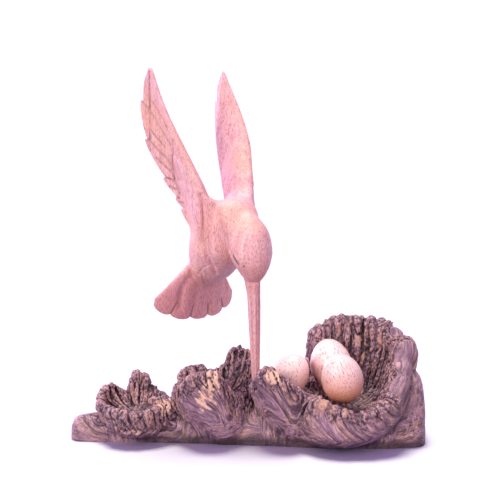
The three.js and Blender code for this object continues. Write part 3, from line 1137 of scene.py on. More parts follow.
@dataclass(frozen=True)
class Egg:
    """A turned wooden egg, blunt below and finer above."""

    node: str
    at: tuple[float, float, float]
    radius: float
    tall: float
    lean: tuple[float, float]  # degrees about X, then about Y
    foot_shade: float  # how much painted shade and painted reflection of the nest darken its foot

    def shape(self, around: int, rings: int, grow: float = 0.0) -> Clay:
        """Builds the egg.

        Args:
            around: How many columns it has.
            rings: How many rings it has.
            grow: How much larger it is all round.

        Returns:
            The closed skin, in the carving's frame.
        """
        x_turn, y_turn = (math.radians(angle) for angle in self.lean)
        about_x = np.array(
            [
                [1, 0, 0],
                [0, math.cos(x_turn), -math.sin(x_turn)],
                [0, math.sin(x_turn), math.cos(x_turn)],
            ]
        )
        about_y = np.array(
            [
                [math.cos(y_turn), 0, math.sin(y_turn)],
                [0, 1, 0],
                [-math.sin(y_turn), 0, math.cos(y_turn)],
            ]
        )

        def place(turn: np.ndarray, share: np.ndarray) -> np.ndarray:
            """Lays the rings from the finer top to the blunt foot, and leans them.

            Args:
                turn: Turns of 0 to 1.
                share: Shares of 0 to 1 from one pole to the other.

            Returns:
                Points in the carving's frame.
            """
            height = np.cos(math.pi * share)
            plump = (self.radius + grow) * (1 - 0.1 * height) * np.sin(math.pi * share)
            x, y = plump * np.cos(math.tau * turn), plump * np.sin(math.tau * turn)
            points = np.stack([x, y, (self.tall + grow) * height], axis=1)
            return points @ about_x.T @ about_y.T + self.at

        return ball(f"{self.node}_turned", around, rings, place)

    def build(self, finish: EggWood) -> bpy.types.Object:
        """Builds and dresses the egg.

        Args:
            finish: The wood that it is turned from.

        Returns:
            The finished piece.
        """
        clay = self.shape(112, 72)
        points = clay.points
        clay.push(0.12 * Scatter(5).layered(points / 9.0, 2))
        piece = clay.finish(60)
        piece.data.materials.append(finish.material(self.node, self.at, self.foot_shade))
        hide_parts(self.node)
        return piece


# The burl


@dataclass(frozen=True)
class Log:
    """The log, with an arched section and squarish sawn ends."""

    left: float = -146.0
    right: float = 142.6
    # Half depths to the front and back, and height, of each station
    stations: tuple[tuple[float, float, float], ...] = (
        (12, 13, 19.5),
        (13, 15, 20.5),
        (15, 19, 23),
        (18, 23, 27),
        (22, 27, 33),
        (26, 33, 40),
        (31, 39, 46),
        (31, 40, 51),
        (27, 36, 59),
    )
    squareness: float = 40.0  # how square the edges of the sawn ends are
    below: float = 8.0  # how far it reaches under the ground before it is sawn flat

    def build(self) -> Clay:
        """Builds the log.

        Returns:
            The closed skin, in the carving's frame.
        """

        def place(turn: np.ndarray, share: np.ndarray) -> np.ndarray:
            """Lays the rings from the left end to the right one, closest at the ends.

            Args:
                turn: Turns of 0 to 1.
                share: Shares of 0 to 1 from one pole to the other.

            Returns:
                Points in the carving's frame.
            """
            run = share * 2 - 1
            along = np.sign(run) * (1 - (1 - np.abs(run)) ** 1.7)
            front, back, high = Line(self.stations).at((along + 1) / 2).T
            shrink = (1 - np.abs(along) ** self.squareness) ** (1 / 3)
            side = np.cos(math.tau * turn) * shrink
            rise = np.sin(math.tau * turn)
            up = np.sign(rise) * np.abs(rise) ** 0.8 * shrink
            x = self.left + (self.right - self.left) * (along + 1) / 2
            y = side * np.where(side < 0, front, back)
            return np.stack([x, y, up * np.where(up < 0, self.below, high)], axis=1)

        return ball("log", 96, 140, place)


ALONG_LOG = 0.06  # how much the grain's coordinates are squeezed along the log
UP_WALL = 0.1  # and up the wall of a cup
WALL_FROM = 15.0  # mm; the height from which they are squeezed up a wall
SWEEP = 44.0  # mm; outside a cup the grain sweeps sideways by the square of its drop, divided by this
ROUND_CUP = 28.0  # mm; the radius at which the grain's coordinates run round every cup
CUP_RINGS = 64  # rings of a cup's skins, from pole to pole
WALL_RINGS = 46  # those of them that lie on the wall
FULLNESS = 0.85  # the power of a cup's reach outwards; below 1 it is fuller than a ball


@dataclass(frozen=True)
class Wall:
    """What a cup's wall is like at each of many places."""

    outward: np.ndarray  # the level way out from the cup's middle
    radius: np.ndarray  # of the crest
    thick: np.ndarray
    top: np.ndarray  # how high the crest is
    fold: np.ndarray  # the relief of the upright folds
    climb: np.ndarray  # from 0 on the floor to 1 at the crest
    lip: np.ndarray  # from 0 where the crest starts to 1 past it
    out: np.ndarray  # the share of the radius that is reached
    up: np.ndarray  # the share of the height that is reached

    def shoulder(self, arc: np.ndarray) -> np.ndarray:
        """The height of the crest at angles from its side to its top."""
        return self.top - 0.35 * self.thick * (1 - np.sin(arc))


@dataclass(frozen=True)
class Around:
    """Where points lie about a cup."""

    bearing: np.ndarray  # radians round the cup's middle
    radius: np.ndarray  # of the crest in that direction
    outside: np.ndarray  # how far outside the crest
    below: np.ndarray  # how far below the crest
    top: np.ndarray  # how high the crest is there


@dataclass(frozen=True)
class Cup:
    """A natural cup of the burl: a bowl with a fluted wall and a ragged crest."""

    name: str
    floor: tuple[float, float, float]
    # The wall's crest from the left side round by the front, the right and the back: x, y, z and thickness
    crest: tuple[tuple[float, float, float, float], ...]
    under: float  # the height of its underside
    flow: float  # how far its underside lies to the right of its floor
    swell: float  # how far its outside bulges, as a share of its radius
    folds: int
    rise: float  # how far each fold lifts the crest
    bark_down: float  # how far down its outside the rough bark runs
    seed: int

    def read(self, turn: np.ndarray, share: np.ndarray) -> Wall:
        """Finds what the wall is like.

        Args:
            turn: A share of 0 to 1 round the cup.
            share: A share of 0 to 1 from the middle of the floor, up the wall and over the crest.

        Returns:
            The wall at each place.
        """
        climb = np.minimum(share * CUP_RINGS / WALL_RINGS, 1.0)
        lip = np.clip((share * CUP_RINGS - WALL_RINGS) / (CUP_RINGS - 2 - WALL_RINGS), 0.0, 1.0)
        edge = Line([point[:3] for point in self.crest], closed=True).at(turn)
        thick = Line([(point[3], 0.0) for point in self.crest], closed=True).at(turn)[:, 0]
        outward = (edge - self.floor) * (1, 1, 0)
        radius = np.linalg.norm(outward, axis=1)
        outward /= radius[:, None]
        bends = np.stack([*(outward[:, :2].T * 3), climb * 1.5], axis=1)
        wander = Scatter(self.seed).layered(bends, 2)
        fold = np.abs(np.sin(math.pi * (self.folds * turn + 0.42 * wander))) ** 0.8 - 0.6
        angle = climb * math.pi / 2
        out, up = np.sin(angle) ** FULLNESS, 1 - np.cos(angle)
        return Wall(outward, radius, thick, edge[:, 2] + self.rise * fold, fold, climb, lip, out, up)

    def over_floor(self, outward: np.ndarray, radius: np.ndarray, height: np.ndarray) -> np.ndarray:
        """Finds points over the cup's floor.

        Args:
            outward: The level way out to each.
            radius: How far out each is.
            height: How high each is.

        Returns:
            Points in the carving's frame.
        """
        points = np.array(self.floor) + outward * radius[:, None]
        points[:, 2] = height
        return points

    def mass(self) -> Clay:
        """Builds the filled mass, from the cup's underside out to its wall and up to its crest.

        Returns:
            The closed skin, in the carving's frame.
        """
        middle = np.array(self.floor) + (0, 0, 10)

        def place(turn: np.ndarray, share: np.ndarray) -> np.ndarray:
            """Lays the rings under the cup, up its outside and over its crest.

            Args:
                turn: Turns of 0 to 1.
                share: Shares of 0 to 1 from one pole to the other.

            Returns:
                Points in the carving's frame.
            """
            wall = self.read(turn, share)
            arc = wall.lip * math.pi / 2
            swell = 1 + self.swell * np.sin(math.pi * wall.climb)
            reach = wall.radius + wall.thick / 2 * np.cos(arc)
            radius = reach * wall.out * swell + wall.fold * 2.0 * wall.climb**3 * (1 - 0.5 * wall.lip)
            height = self.under + (wall.shoulder(arc) - self.under) * wall.up
            points = self.over_floor(wall.outward, radius, height)
            points[:, 0] += self.flow * (1 - wall.up)
            return np.where((share > 1 - 0.5 / CUP_RINGS)[:, None], middle, points)

        return ball(f"{self.name}_mass", 288, CUP_RINGS, place)

    def hollow(self) -> Clay:
        """Builds the hollow, from the cup's floor up its inner wall and straight up from its crest.

        Returns:
            The closed skin, in the carving's frame.
        """
        above = max(point[2] for point in self.crest) + 40
        middle = np.array([self.floor[0], self.floor[1], above])

        def place(turn: np.ndarray, share: np.ndarray) -> np.ndarray:
            """Lays the rings over the floor, up the inner wall and far above it.

            Args:
                turn: Turns of 0 to 1.
                share: Shares of 0 to 1 from one pole to the other.

            Returns:
                Points in the carving's frame.
            """
            wall = self.read(turn, share)
            arc = wall.lip * math.radians(80)
            reach = wall.radius - wall.thick / 2 * np.cos(arc)
            radius = reach * wall.out + wall.fold * 3.2 * wall.climb * (1 - 0.5 * wall.lip)
            height = self.floor[2] + (wall.shoulder(arc) - self.floor[2]) * wall.up
            last = share * CUP_RINGS > CUP_RINGS - 1.5
            points = self.over_floor(wall.outward, radius, np.where(last, above, height))
            return np.where((share > 1 - 0.5 / CUP_RINGS)[:, None], middle, points)

        return ball(f"{self.name}_hollow", 288, CUP_RINGS, place)

    def around(self, points: np.ndarray) -> Around:
        """Finds where points lie about the cup's crest.

        Args:
            points: Rows in the carving's frame.

        Returns:
            Their places about the crest.
        """
        turns = np.linspace(0, 1, 720, endpoint=False)
        middle = np.array([self.floor[0], self.floor[1], 0.0])
        edge = Line([point[:3] for point in self.crest], closed=True).at(turns) - middle
        bearing = np.arctan2(edge[:, 1], edge[:, 0])
        order = np.argsort(bearing)
        away = points - middle
        at = np.arctan2(away[:, 1], away[:, 0])
        radius = np.interp(at, bearing[order], np.hypot(edge[:, 0], edge[:, 1])[order], period=math.tau)
        top = np.interp(at, bearing[order], edge[order, 2], period=math.tau)
        outside = np.hypot(away[:, 0], away[:, 1]) - radius
        return Around(at, radius, outside, top - points[:, 2], top)

    def bark(self, points: np.ndarray, here: Around, ragged: np.ndarray) -> np.ndarray:
        """Finds where the cup is rough: in its hollow and down from its crest.

        Args:
            points: Rows in the carving's frame.
            here: Where they lie about the crest.
            ragged: How far the edge of the rough bark strays at each point.

        Returns:
            1 for each point of rough bark and 0 elsewhere.
        """
        out = np.clip(1 + (here.outside + 3) / here.radius, 0.0, 1.0)
        hollow = self.floor[2] + (here.top - 2 - self.floor[2]) * (1 - np.sqrt(1 - out ** (2 / FULLNESS)))
        inside = smooth_step(here.outside, 1.5, -1.5) * smooth_step(points[:, 2] - hollow, -6, -3)
        down = smooth_step(here.below + ragged, self.bark_down + 3, self.bark_down - 3)
        near = down * smooth_step(here.outside, 14, 8) * smooth_step(here.below, -9, -5)
        return np.maximum(inside, near * smooth_step(here.outside, -8, -4))

    def grain(self, points: np.ndarray, here: Around) -> np.ndarray:
        """Finds coordinates round the cup and up its wall.

        They are squeezed up the wall, so that even patterns turn into upright streaks. Outside, the streaks
        sweep to the right as they go down, into those of the log.

        Args:
            points: Rows in the carving's frame.
            here: Where they lie about the crest.

        Returns:
            Three coordinates for each point.
        """
        drop = np.clip(here.below, 0.0, 40.0) * smooth_step(here.outside, -6, 2)
        bearing = here.bearing - drop**2 / SWEEP / ROUND_CUP
        x = ROUND_CUP * np.cos(bearing) + ALONG_LOG * self.floor[0]
        y = ROUND_CUP * np.sin(bearing) + self.floor[1]
        return np.stack([x, y, WALL_FROM + UP_WALL * (points[:, 2] - WALL_FROM)], axis=1)

    def rim_grain(self, points: np.ndarray, here: Around) -> np.ndarray:
        """Coordinates across the wall and, squeezed, along it, for streaks that run along it."""
        across = here.outside + np.clip(here.below, 0.0, 40.0)
        return np.stack([0.75 * across, 2 * here.bearing, UP_WALL * points[:, 2] / 2], axis=1)


@dataclass(frozen=True)
class Lump:
    """A rounded knob of bark."""

    at: tuple[float, float, float]
    size: tuple[float, float, float]
    rough: float = 0.08

    def build(self) -> Clay:
        """Builds the knob.

        Returns:
            The closed, roughened skin, in the carving's frame.
        """

        def place(turn: np.ndarray, share: np.ndarray) -> np.ndarray:
            """Lays the blank on the roughened knob.

            Args:
                turn: Turns of 0 to 1.
                share: Shares of 0 to 1 from one pole to the other.

            Returns:
                Points in the carving's frame.
            """
            ways = way_out(turn, share)
            rough = 1 + self.rough * Scatter(11).layered(ways * 2.2 + self.at, 2)
            return ways * rough[:, None] * self.size + self.at

        return ball("lump", 64, 40, place)


@dataclass(frozen=True)
class Litter:
    """A scatter of small crumbs of bark."""

    at: tuple[float, float, float]
    spread: tuple[float, float, float]
    sizes: tuple[float, float]
    count: int
    seed: int

    def lumps(self) -> list[Lump]:
        """Places each crumb.

        Returns:
            A small, rough lump for each.
        """
        chance = np.random.default_rng(self.seed)
        lumps = []
        for _ in range(self.count):
            place = np.array(self.at) + chance.uniform(-1, 1, 3) * self.spread
            size = chance.uniform(*self.sizes) * chance.uniform(0.7, 1.3, 3)
            lumps.append(Lump(tuple(place), tuple(size), 0.4))
        return lumps


@dataclass(frozen=True)
class Patch:
    """A place where the bark is worn or sanded through to paler wood."""

    at: tuple[float, float, float]
    size: tuple[float, float, float]
    strength: float = 1.0


@dataclass(frozen=True)
class Burl:
    """The whole burl."""

    voxel: float = 0.95
    triangles: int = 194_000
    log: Log = Log()
    cups: tuple[Cup, ...] = (
        Cup(
            "small",
            (-92, -5, 23),
            (
                (-122.5, -2, 34, 5),
                (-114, -19, 31, 5),
                (-100, -27, 29, 6),
                (-86, -26, 28, 6),
                (-76, -20, 31, 6),
                (-63, -6, 32, 8),
                (-70, 8, 32, 6),
                (-80, 14, 42, 5),
                (-89, 16, 50, 5),
                (-97, 16, 49, 5),
                (-100.5, 14, 34, 5),
                (-106, 12, 35, 5),
                (-112, 9, 43, 5),
                (-119, 4, 41, 5),
            ),
            under=2,
            flow=3,
            swell=0.05,
            folds=17,
            seed=5,
            rise=1.4,
            bark_down=13,
        ),
        Cup(
            "middle",
            (-28, -7, 36),
            (
                (-61, -6, 37, 6),
                (-54, -20, 51, 6),
                (-45, -28, 61, 7),
                (-35, -31, 65, 7),
                (-26, -29, 64, 7),
                (-21, -24, 53, 7),
                (-14, -17, 42, 7),
                (-6, -9, 40, 8),
                (0, 2, 46, 8),
                (0, 10, 61, 7),
                (-4, 15, 71, 6),
                (-11, 17, 73, 6),
                (-17, 17, 66, 6),
                (-24, 16, 55, 6),
                (-34, 14, 52, 5),
                (-40, 12, 57, 5),
                (-48, 9, 57, 5),
                (-56, 3, 52, 5),
            ),
            under=-6,
            flow=14,
            swell=0.1,
            folds=21,
            seed=6,
            rise=1.6,
            bark_down=15,
        ),
        Cup(
            "front",
            (28, -4, 39),
            (
                (4, -10, 46, 7),
                (7, -24, 60, 7),
                (13, -32, 68, 7),
                (21, -35, 67, 7),
                (30, -34, 58, 8),
                (38, -29, 49, 8),
                (45, -20, 40, 8),
                (50, -6, 37, 8),
                (45, 14, 39, 8),
                (29, 22, 44, 7),
                (15, 18, 52, 7),
                (8, 8, 53, 7),
            ),
            under=-6,
            flow=14,
            swell=0.08,
            folds=15,
            seed=5,
            rise=1.4,
            bark_down=11,
        ),
        Cup(
            "nest",
            (79, -8, 27),
            (
                (45, -22, 40, 9),
                (50, -34, 41, 9),
                (57, -42, 43, 9),
                (66, -47, 40, 9),
                (77, -50, 37, 9),
                (89, -49, 37, 10),
                (102, -44, 40, 12),
                (113, -34, 47, 14),
                (120, -20, 59, 15),
                (123, -4, 73, 15),
                (121, 14, 84, 14),
                (114, 28, 89, 11),
                (105, 34, 91, 8),
                (93, 37, 92, 7),
                (80, 38, 93, 7),
                (68, 37, 92, 7),
                (60, 35, 88, 7),
                (52.5, 32, 80, 6),
                (52.5, 29, 71, 6),
                (57, 24, 61, 5),
                (54, 14, 52, 6),
                (45, 0, 44, 8),
            ),
            under=-3,
            flow=-12,
            swell=0.14,
            folds=33,
            seed=4,
            rise=1.8,
            bark_down=8,
        ),
    )
    lumps: tuple[Lump, ...] = (
        Lump((126.5, 10, 66), (11, 16, 16)),
        Lump((-67, -11, 28), (7, 7, 7)),
        Lump((-78, -14, 27), (6, 6, 5)),
        Lump((46, 14, 55), (3, 3.5, 9)),
        Lump((-101, 11, 36), (1.9, 2.5, 6.5)),
    )
    litter: tuple[Litter, ...] = (
        Litter((49, -21, 38), (7, 8, 2), (1, 2.2), 26, 51),
        Litter((-70, -8, 31), (9, 6, 3), (1, 2.5), 22, 52),
    )
    # Where the outside of the wall is bare of bark
    bare: tuple[Patch, ...] = (
        Patch((128, -6, 66), (13, 22, 20)),
        Patch((122, -28, 46), (12, 12, 18)),
        Patch((122, 24, 80), (9, 14, 12)),
    )
    patches: tuple[Patch, ...] = (
        Patch((-30, -35, 54), (5, 6, 13)),
        Patch((-37, -33, 46), (4, 6, 12)),
        Patch((16, -37, 60), (5, 6, 7)),
        Patch((-70, -14, 30), (9, 7, 5), 0.7),
        Patch((-92, -30, 12), (14, 6, 2.5), 0.8),
    )

    def bark(self, points: np.ndarray, places: Sequence[Around]) -> np.ndarray:
        """Finds where the burl is rough bark.

        Args:
            points: Rows in the carving's frame.
            places: Where they lie about each cup's crest.

        Returns:
            1 for each point of rough bark and 0 where the wood is smooth.
        """
        ragged = 7 * Scatter(21).layered(self.grain(points, places) / 4.0, 2)
        ragged += 2 * Scatter(22).at(points / 2.0)
        rough = np.max([cup.bark(points, here, ragged) for cup, here in zip(self.cups, places)], axis=0)
        return rough * smooth_step(self.bared(points) + 0.05 * ragged, 0.6, 0.4)

    def bared(self, points: np.ndarray) -> np.ndarray:
        """How far each point, from 0 to 1, lies where the nest's wall is bare of bark."""
        away = [np.linalg.norm((points - patch.at) / patch.size, axis=1) for patch in self.bare]
        return smooth_step(np.min(away, axis=0), 1.2, 0.8)

    def grain(self, points: np.ndarray, places: Sequence[Around]) -> np.ndarray:
        """Finds coordinates that follow the growth of the wood: along the log, and up the walls of the cups.

        Args:
            points: Rows in the carving's frame.
            places: Where they lie about each cup's crest.

        Returns:
            Three coordinates for each point.
        """
        # The log's own grain counts for little where a cup is near
        share = np.full(len(points), 0.15)
        # Along the log the streaks dip under each cup
        sunk = sum(12 * np.exp(-(((points[:, 0] - cup.floor[0]) / 24) ** 2)) for cup in self.cups)
        along = points + sunk[:, None] * (0, 0, 1)
        total = along * (ALONG_LOG, 0.7, 1.0) * share[:, None]
        for cup, here in zip(self.cups, places):
            up = smooth_step(points[:, 2], cup.floor[2] - 24, cup.floor[2] + 6)
            beside = 1 / (1 + (np.clip(here.outside, 0.0, None) / 9) ** 4)
            near = beside * np.maximum(up, smooth_step(here.outside, -2, -8))
            total += cup.grain(points, here) * near[:, None]
            share += near
        bared = self.bared(points)[:, None]
        return total / share[:, None] * (1 - bared) + self.cups[-1].rim_grain(points, places[-1]) * bared

    def roughen(self, clay: Clay) -> None:
        """Raises the relief of the bark and the slow swell of the smooth wood.

        Args:
            clay: The burl's skin.
        """
        points = clay.points
        places = [cup.around(points) for cup in self.cups]
        rough = self.bark(points, places)
        grain = self.grain(points, places)
        drop = np.min([here.below + 3 * np.clip(here.outside - 6, 0, None) for here in places], axis=0)
        folded = np.maximum(rough, 0.6 * smooth_step(drop, 34, 12) * (1 - 0.5 * self.bared(points)))
        # Near the middle of a cup's floor the ropes would all meet in a point, so they fade there
        rim = np.min([smooth_step(here.outside / here.radius, -0.8, -0.4) for here in places], axis=0)
        ropes = Scatter(32).layered(grain / 4.2, 2)
        cracks = np.exp(-((ropes / 0.13) ** 2))
        crumbs = Scatter(31).layered(points / 2.4, 2)
        petals = Scatter(33).at(grain / 7.5)
        clefts = np.exp(-((petals / 0.09) ** 2))
        relief = 1.4 * np.abs(ropes) - 1.1 * cracks + 2.2 * np.abs(petals) - 1.2 * clefts
        clay.push(folded * rim * relief)
        clay.push(rough * (0.9 - 0.3 * rim) * crumbs + (1 - rough) * 0.3 * petals)

    def build(self, finish: BurlWood, bird: Bird, eggs: Sequence[Egg], gap: float) -> bpy.types.Object:
        """Builds and dresses the burl.

        Args:
            finish: Its wood.
            bird: The bird whose bill stands in it.
            eggs: The eggs that lie in it.
            gap: The air left round what sits in it.

        Returns:
            The finished piece.
        """
        parts = [self.log.build(), *(cup.mass() for cup in self.cups)]
        parts += [lump.build() for lump in self.lumps]
        crumbs = [lump.build() for litter in self.litter for lump in litter.lumps()]
        clay = fused("burl_carving", parts, self.voxel)
        self.soften(clay)
        for cup in self.cups:
            clay.cut(cup.hollow().piece)
        clay = fused("burl_carving", [clay, *crumbs], self.voxel)
        clay.smooth(np.ones(len(clay.points)), 1)
        self.roughen(clay)
        socket = bird.bill.build(48, 24, gap)
        socket.points = bird.to_carving(socket.points) - (0, 0, gap)
        clay.cut(socket.piece)
        for egg in eggs:
            clay.cut(egg.shape(64, 40, gap).piece)
        clay.saw((0, 0, 0), (0, 0, 1))
        clay.thin(self.triangles)
        self.mark(clay)
        piece = clay.finish(60)
        piece.data.materials.clear()
        piece.data.materials.append(finish.material())
        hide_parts("burl_base")
        return piece

    def soften(self, clay: Clay) -> None:
        """Rounds the valleys where the cups grow out of the log."""
        height = clay.points[:, 2]
        clay.smooth(smooth_step(height, 60, 30), 30)

    def mark(self, clay: Clay) -> None:
        """Stores what the finish reads: bark, grain, hollows, worn patches and the painted shade on the
        foot.

        Args:
            clay: The burl's skin.
        """
        points = clay.points
        places = [cup.around(points) for cup in self.cups]
        grain = self.grain(points, places)
        clay.mark("bark", self.bark(points, places))
        clay.mark_rows("grain", grain)
        # Both hollow measures feed painted shade in cracks and hollows, and the small one a painted
        # highlight on crests
        clay.mark("cavity", clay.cavity(5))
        clay.mark("deep", clay.cavity(70))
        worn = np.zeros(len(points))
        ragged = 0.7 * Scatter(41).layered(grain / 2.5, 2) + 0.25 * Scatter(43).at(points / 1.8)
        for patch in self.patches:
            away = np.linalg.norm((points - patch.at) / patch.size, axis=1)
            worn = np.maximum(worn, patch.strength * smooth_step(away + ragged, 1.05, 0.85))
        clay.mark("worn", worn)
        # Painted shade along the foot, darker towards the ground and fading out towards the left end
        blotched = 3 * Scatter(42).layered(points / (14.0, 14.0, 5.0), 2)
        clay.mark("foot", smooth_step(points[:, 2] + blotched, 11, 2) * smooth_step(points[:, 0], -110, -80))


# Finishes


def linear(code: str) -> tuple[float, float, float, float]:
    """Turns an sRGB colour to the linear values that a shader takes.

    Args:
        code: The colour in hex, such as "#c08040".

    Returns:
        Red, green, blue and an alpha of 1.
    """
    parts = [int(code[start : start + 2], 16) / 255 for start in (1, 3, 5)]
    linears = [part / 12.92 if part <= 0.04045 else ((part + 0.055) / 1.055) ** 2.4 for part in parts]
    return (*linears, 1.0)


def scales(*widths: float) -> tuple[float, ...]:
    """Turns the widths in mm of a pattern's features to scales of a piece's own coordinates, in metres."""
    return tuple(1 / (width * MM) for width in widths)


def add_node(
    tree: bpy.types.NodeTree, kind: str, settings: dict[str, object], inputs: dict[str | int, object]
) -> bpy.types.Node:
    """Adds a node.

    Args:
        tree: What it is added to.
        kind: The node's type name without its common start.
        settings: Its settings by name.
        inputs: A value or another node's output for each input, by its name or number.

    Returns:
        The node.
    """
    node = tree.nodes.new(f"ShaderNode{kind}")
    for name, value in settings.items():
        setattr(node, name, value)
    for name, value in inputs.items():
        if isinstance(value, bpy.types.NodeSocket):
            tree.links.new(value, node.inputs[name])
        else:
            node.inputs[name].default_value = value
    return node


def blank_material(name: str) -> tuple[bpy.types.Material, Callable[..., bpy.types.Node]]:
    """Makes an empty material.

    Args:
        name: The real material and how its surface was made.

    Returns:
        The material, and what adds a node to it.
    """
    material = bpy.data.materials.new(name)
    material.use_nodes = True
    material.node_tree.nodes.clear()
    return material, partial(add_node, material.node_tree)


MIX_COLOURS = {"data_type": "RGBA"}  # what a mixing node is set to


@dataclass(frozen=True)
class BirdWood:
    """Pale hibiscus wood, carved with knives, sanded and waxed: fine dark pores along an upright grain."""

    light: str = "#fbd6cf"
    body: str = "#f0bcb8"
    dark: str = "#d7969b"
    warm: str = "#f7bfa4"
    heart: str = "#c88a8c"
    pore: str = "#96505c"
    # Painted shade for the cuts, folds and small hollows
    shade_colour: str = "#4f2838"

    def material(self) -> bpy.types.Material:
        """Builds the material.

        Returns:
            The material.
        """
        material, add = blank_material("hibiscus_wood_carved_waxed")
        where = add("TexCoord", {}, {}).outputs["Object"]
        # Growth figure 3 mm wide and 50 mm long, along the upright grain
        figure_place = add("Mapping", {}, {"Vector": where, "Scale": scales(3.03, 3.03, 50)}).outputs[0]
        figure = add("TexNoise", {}, {"Vector": figure_place, "Scale": 1.0, "Detail": 3.0}).outputs["Fac"]
        # Pores 0.6 mm wide and 3 mm long; real ones are finer, and would not show
        pore_place = add("Mapping", {}, {"Vector": where, "Scale": scales(0.625, 0.625, 3.33)}).outputs[0]
        pores = add("TexNoise", {}, {"Vector": pore_place, "Scale": 1.0, "Detail": 2.0}).outputs["Fac"]
        pore_share = add("MapRange", {}, {0: pores, 1: 0.46, 2: 0.68, 3: 0.0, 4: 0.6}).outputs[0]
        ramp = add("ValToRGB", {}, {0: figure})
        ramp.color_ramp.elements[0].color = linear(self.dark)
        ramp.color_ramp.elements[0].position = 0.25
        ramp.color_ramp.elements[1].color = linear(self.light)
        ramp.color_ramp.elements[1].position = 0.8
        middle = ramp.color_ramp.elements.new(0.5)
        middle.color = linear(self.body)
        # Warmer bands some 40 mm wide, and darker heartwood in the tail, the chin and the bill
        band_look = {"Scale": scales(38.5)[0], "Detail": 1.0}
        bands = add("TexNoise", {}, {"Vector": where, **band_look}).outputs["Fac"]
        band_share = add("MapRange", {}, {0: bands, 1: 0.42, 2: 0.62, 3: 0.0, 4: 0.6}).outputs[0]
        grown = ramp.outputs[0]
        warmed = add("Mix", MIX_COLOURS, {0: band_share, 6: grown, 7: linear(self.warm)}).outputs[2]
        core = add("Attribute", {"attribute_name": "core"}, {}).outputs["Fac"]
        toned = add("Mix", MIX_COLOURS, {0: core, 6: warmed, 7: linear(self.heart)}).outputs[2]
        flecked = add("Mix", MIX_COLOURS, {0: pore_share, 6: toned, 7: linear(self.pore)}).outputs[2]
        # Painted shade along the cuts and folds and in small hollows
        ink = add("Attribute", {"attribute_name": "ink"}, {}).outputs["Fac"]
        lined = add("Mix", MIX_COLOURS, {0: ink, 6: flecked, 7: linear(self.shade_colour)}).outputs[2]
        dents = {"Height": pore_share, "Distance": 0.2 * MM, "Strength": 0.5}
        relief = add("Bump", {"invert": True}, dents).outputs[0]
        surface = add("BsdfPrincipled", {}, {"Base Color": lined, "Roughness": 0.5, "Normal": relief})
        add("OutputMaterial", {}, {"Surface": surface.outputs[0]})
        return material


@dataclass(frozen=True)
class EggWood:
    """The same pale wood turned on a lathe and polished: small flecks along a slanting grain."""

    light: str = "#fbe0de"
    body: str = "#f5cdbe"
    # The foot's painted shade and painted reflection of the nest
    heart: str = "#d9957a"
    fleck: str = "#8e5a4c"

    def material(self, name: str, at: tuple[float, float, float], foot_shade: float) -> bpy.types.Material:
        """Builds the material for one egg.

        Args:
            name: The egg's name.
            at: The egg's middle, which turns its pattern and sets how high the painted shade at its foot
                reaches.
            foot_shade: How much painted shade and painted reflection of the nest darken its foot.

        Returns:
            The material.
        """
        material, add = blank_material(f"pale_wood_turned_polished_{name}")
        where = add("TexCoord", {}, {}).outputs["Object"]
        turned = add("Mapping", {}, {"Vector": where, "Rotation": (0.5, 0.4, at[0])}).outputs[0]
        # Growth figure 5 mm wide and 25 mm long, aslant, and another way on each egg
        figure_place = add("Mapping", {}, {"Vector": turned, "Scale": scales(4.55, 4.55, 25)}).outputs[0]
        figure = add("TexNoise", {}, {"Vector": figure_place, "Scale": 1.0, "Detail": 3.0}).outputs["Fac"]
        # Flecks 0.9 mm wide and 4 mm long; real ones are finer, and would not show
        fleck_place = add("Mapping", {}, {"Vector": turned, "Scale": scales(0.87, 0.87, 3.85)}).outputs[0]
        flecks = add("TexNoise", {}, {"Vector": fleck_place, "Scale": 1.0, "Detail": 1.0}).outputs["Fac"]
        fleck_share = add("MapRange", {}, {0: flecks, 1: 0.56, 2: 0.7, 3: 0.0, 4: 0.75}).outputs[0]
        base = add("Mix", MIX_COLOURS, {0: figure, 6: linear(self.light), 7: linear(self.body)}).outputs[2]
        # Painted shade and painted reflection of the nest, warmer and darker in the lower half
        height = add("SeparateXYZ", {}, {0: where}).outputs["Z"]
        upper, lower = ((at[2] + rise) * MM for rise in (10, -12))
        egg_shade_share = add("MapRange", {}, {0: height, 1: upper, 2: lower, 3: 0.0, 4: foot_shade}).outputs[0]
        toned = add("Mix", MIX_COLOURS, {0: egg_shade_share, 6: base, 7: linear(self.heart)}).outputs[2]
        flecked = add("Mix", MIX_COLOURS, {0: fleck_share, 6: toned, 7: linear(self.fleck)}).outputs[2]
        surface = add("BsdfPrincipled", {}, {"Base Color": flecked, "Roughness": 0.38})
        add("OutputMaterial", {}, {"Surface": surface.outputs[0]})
        return material


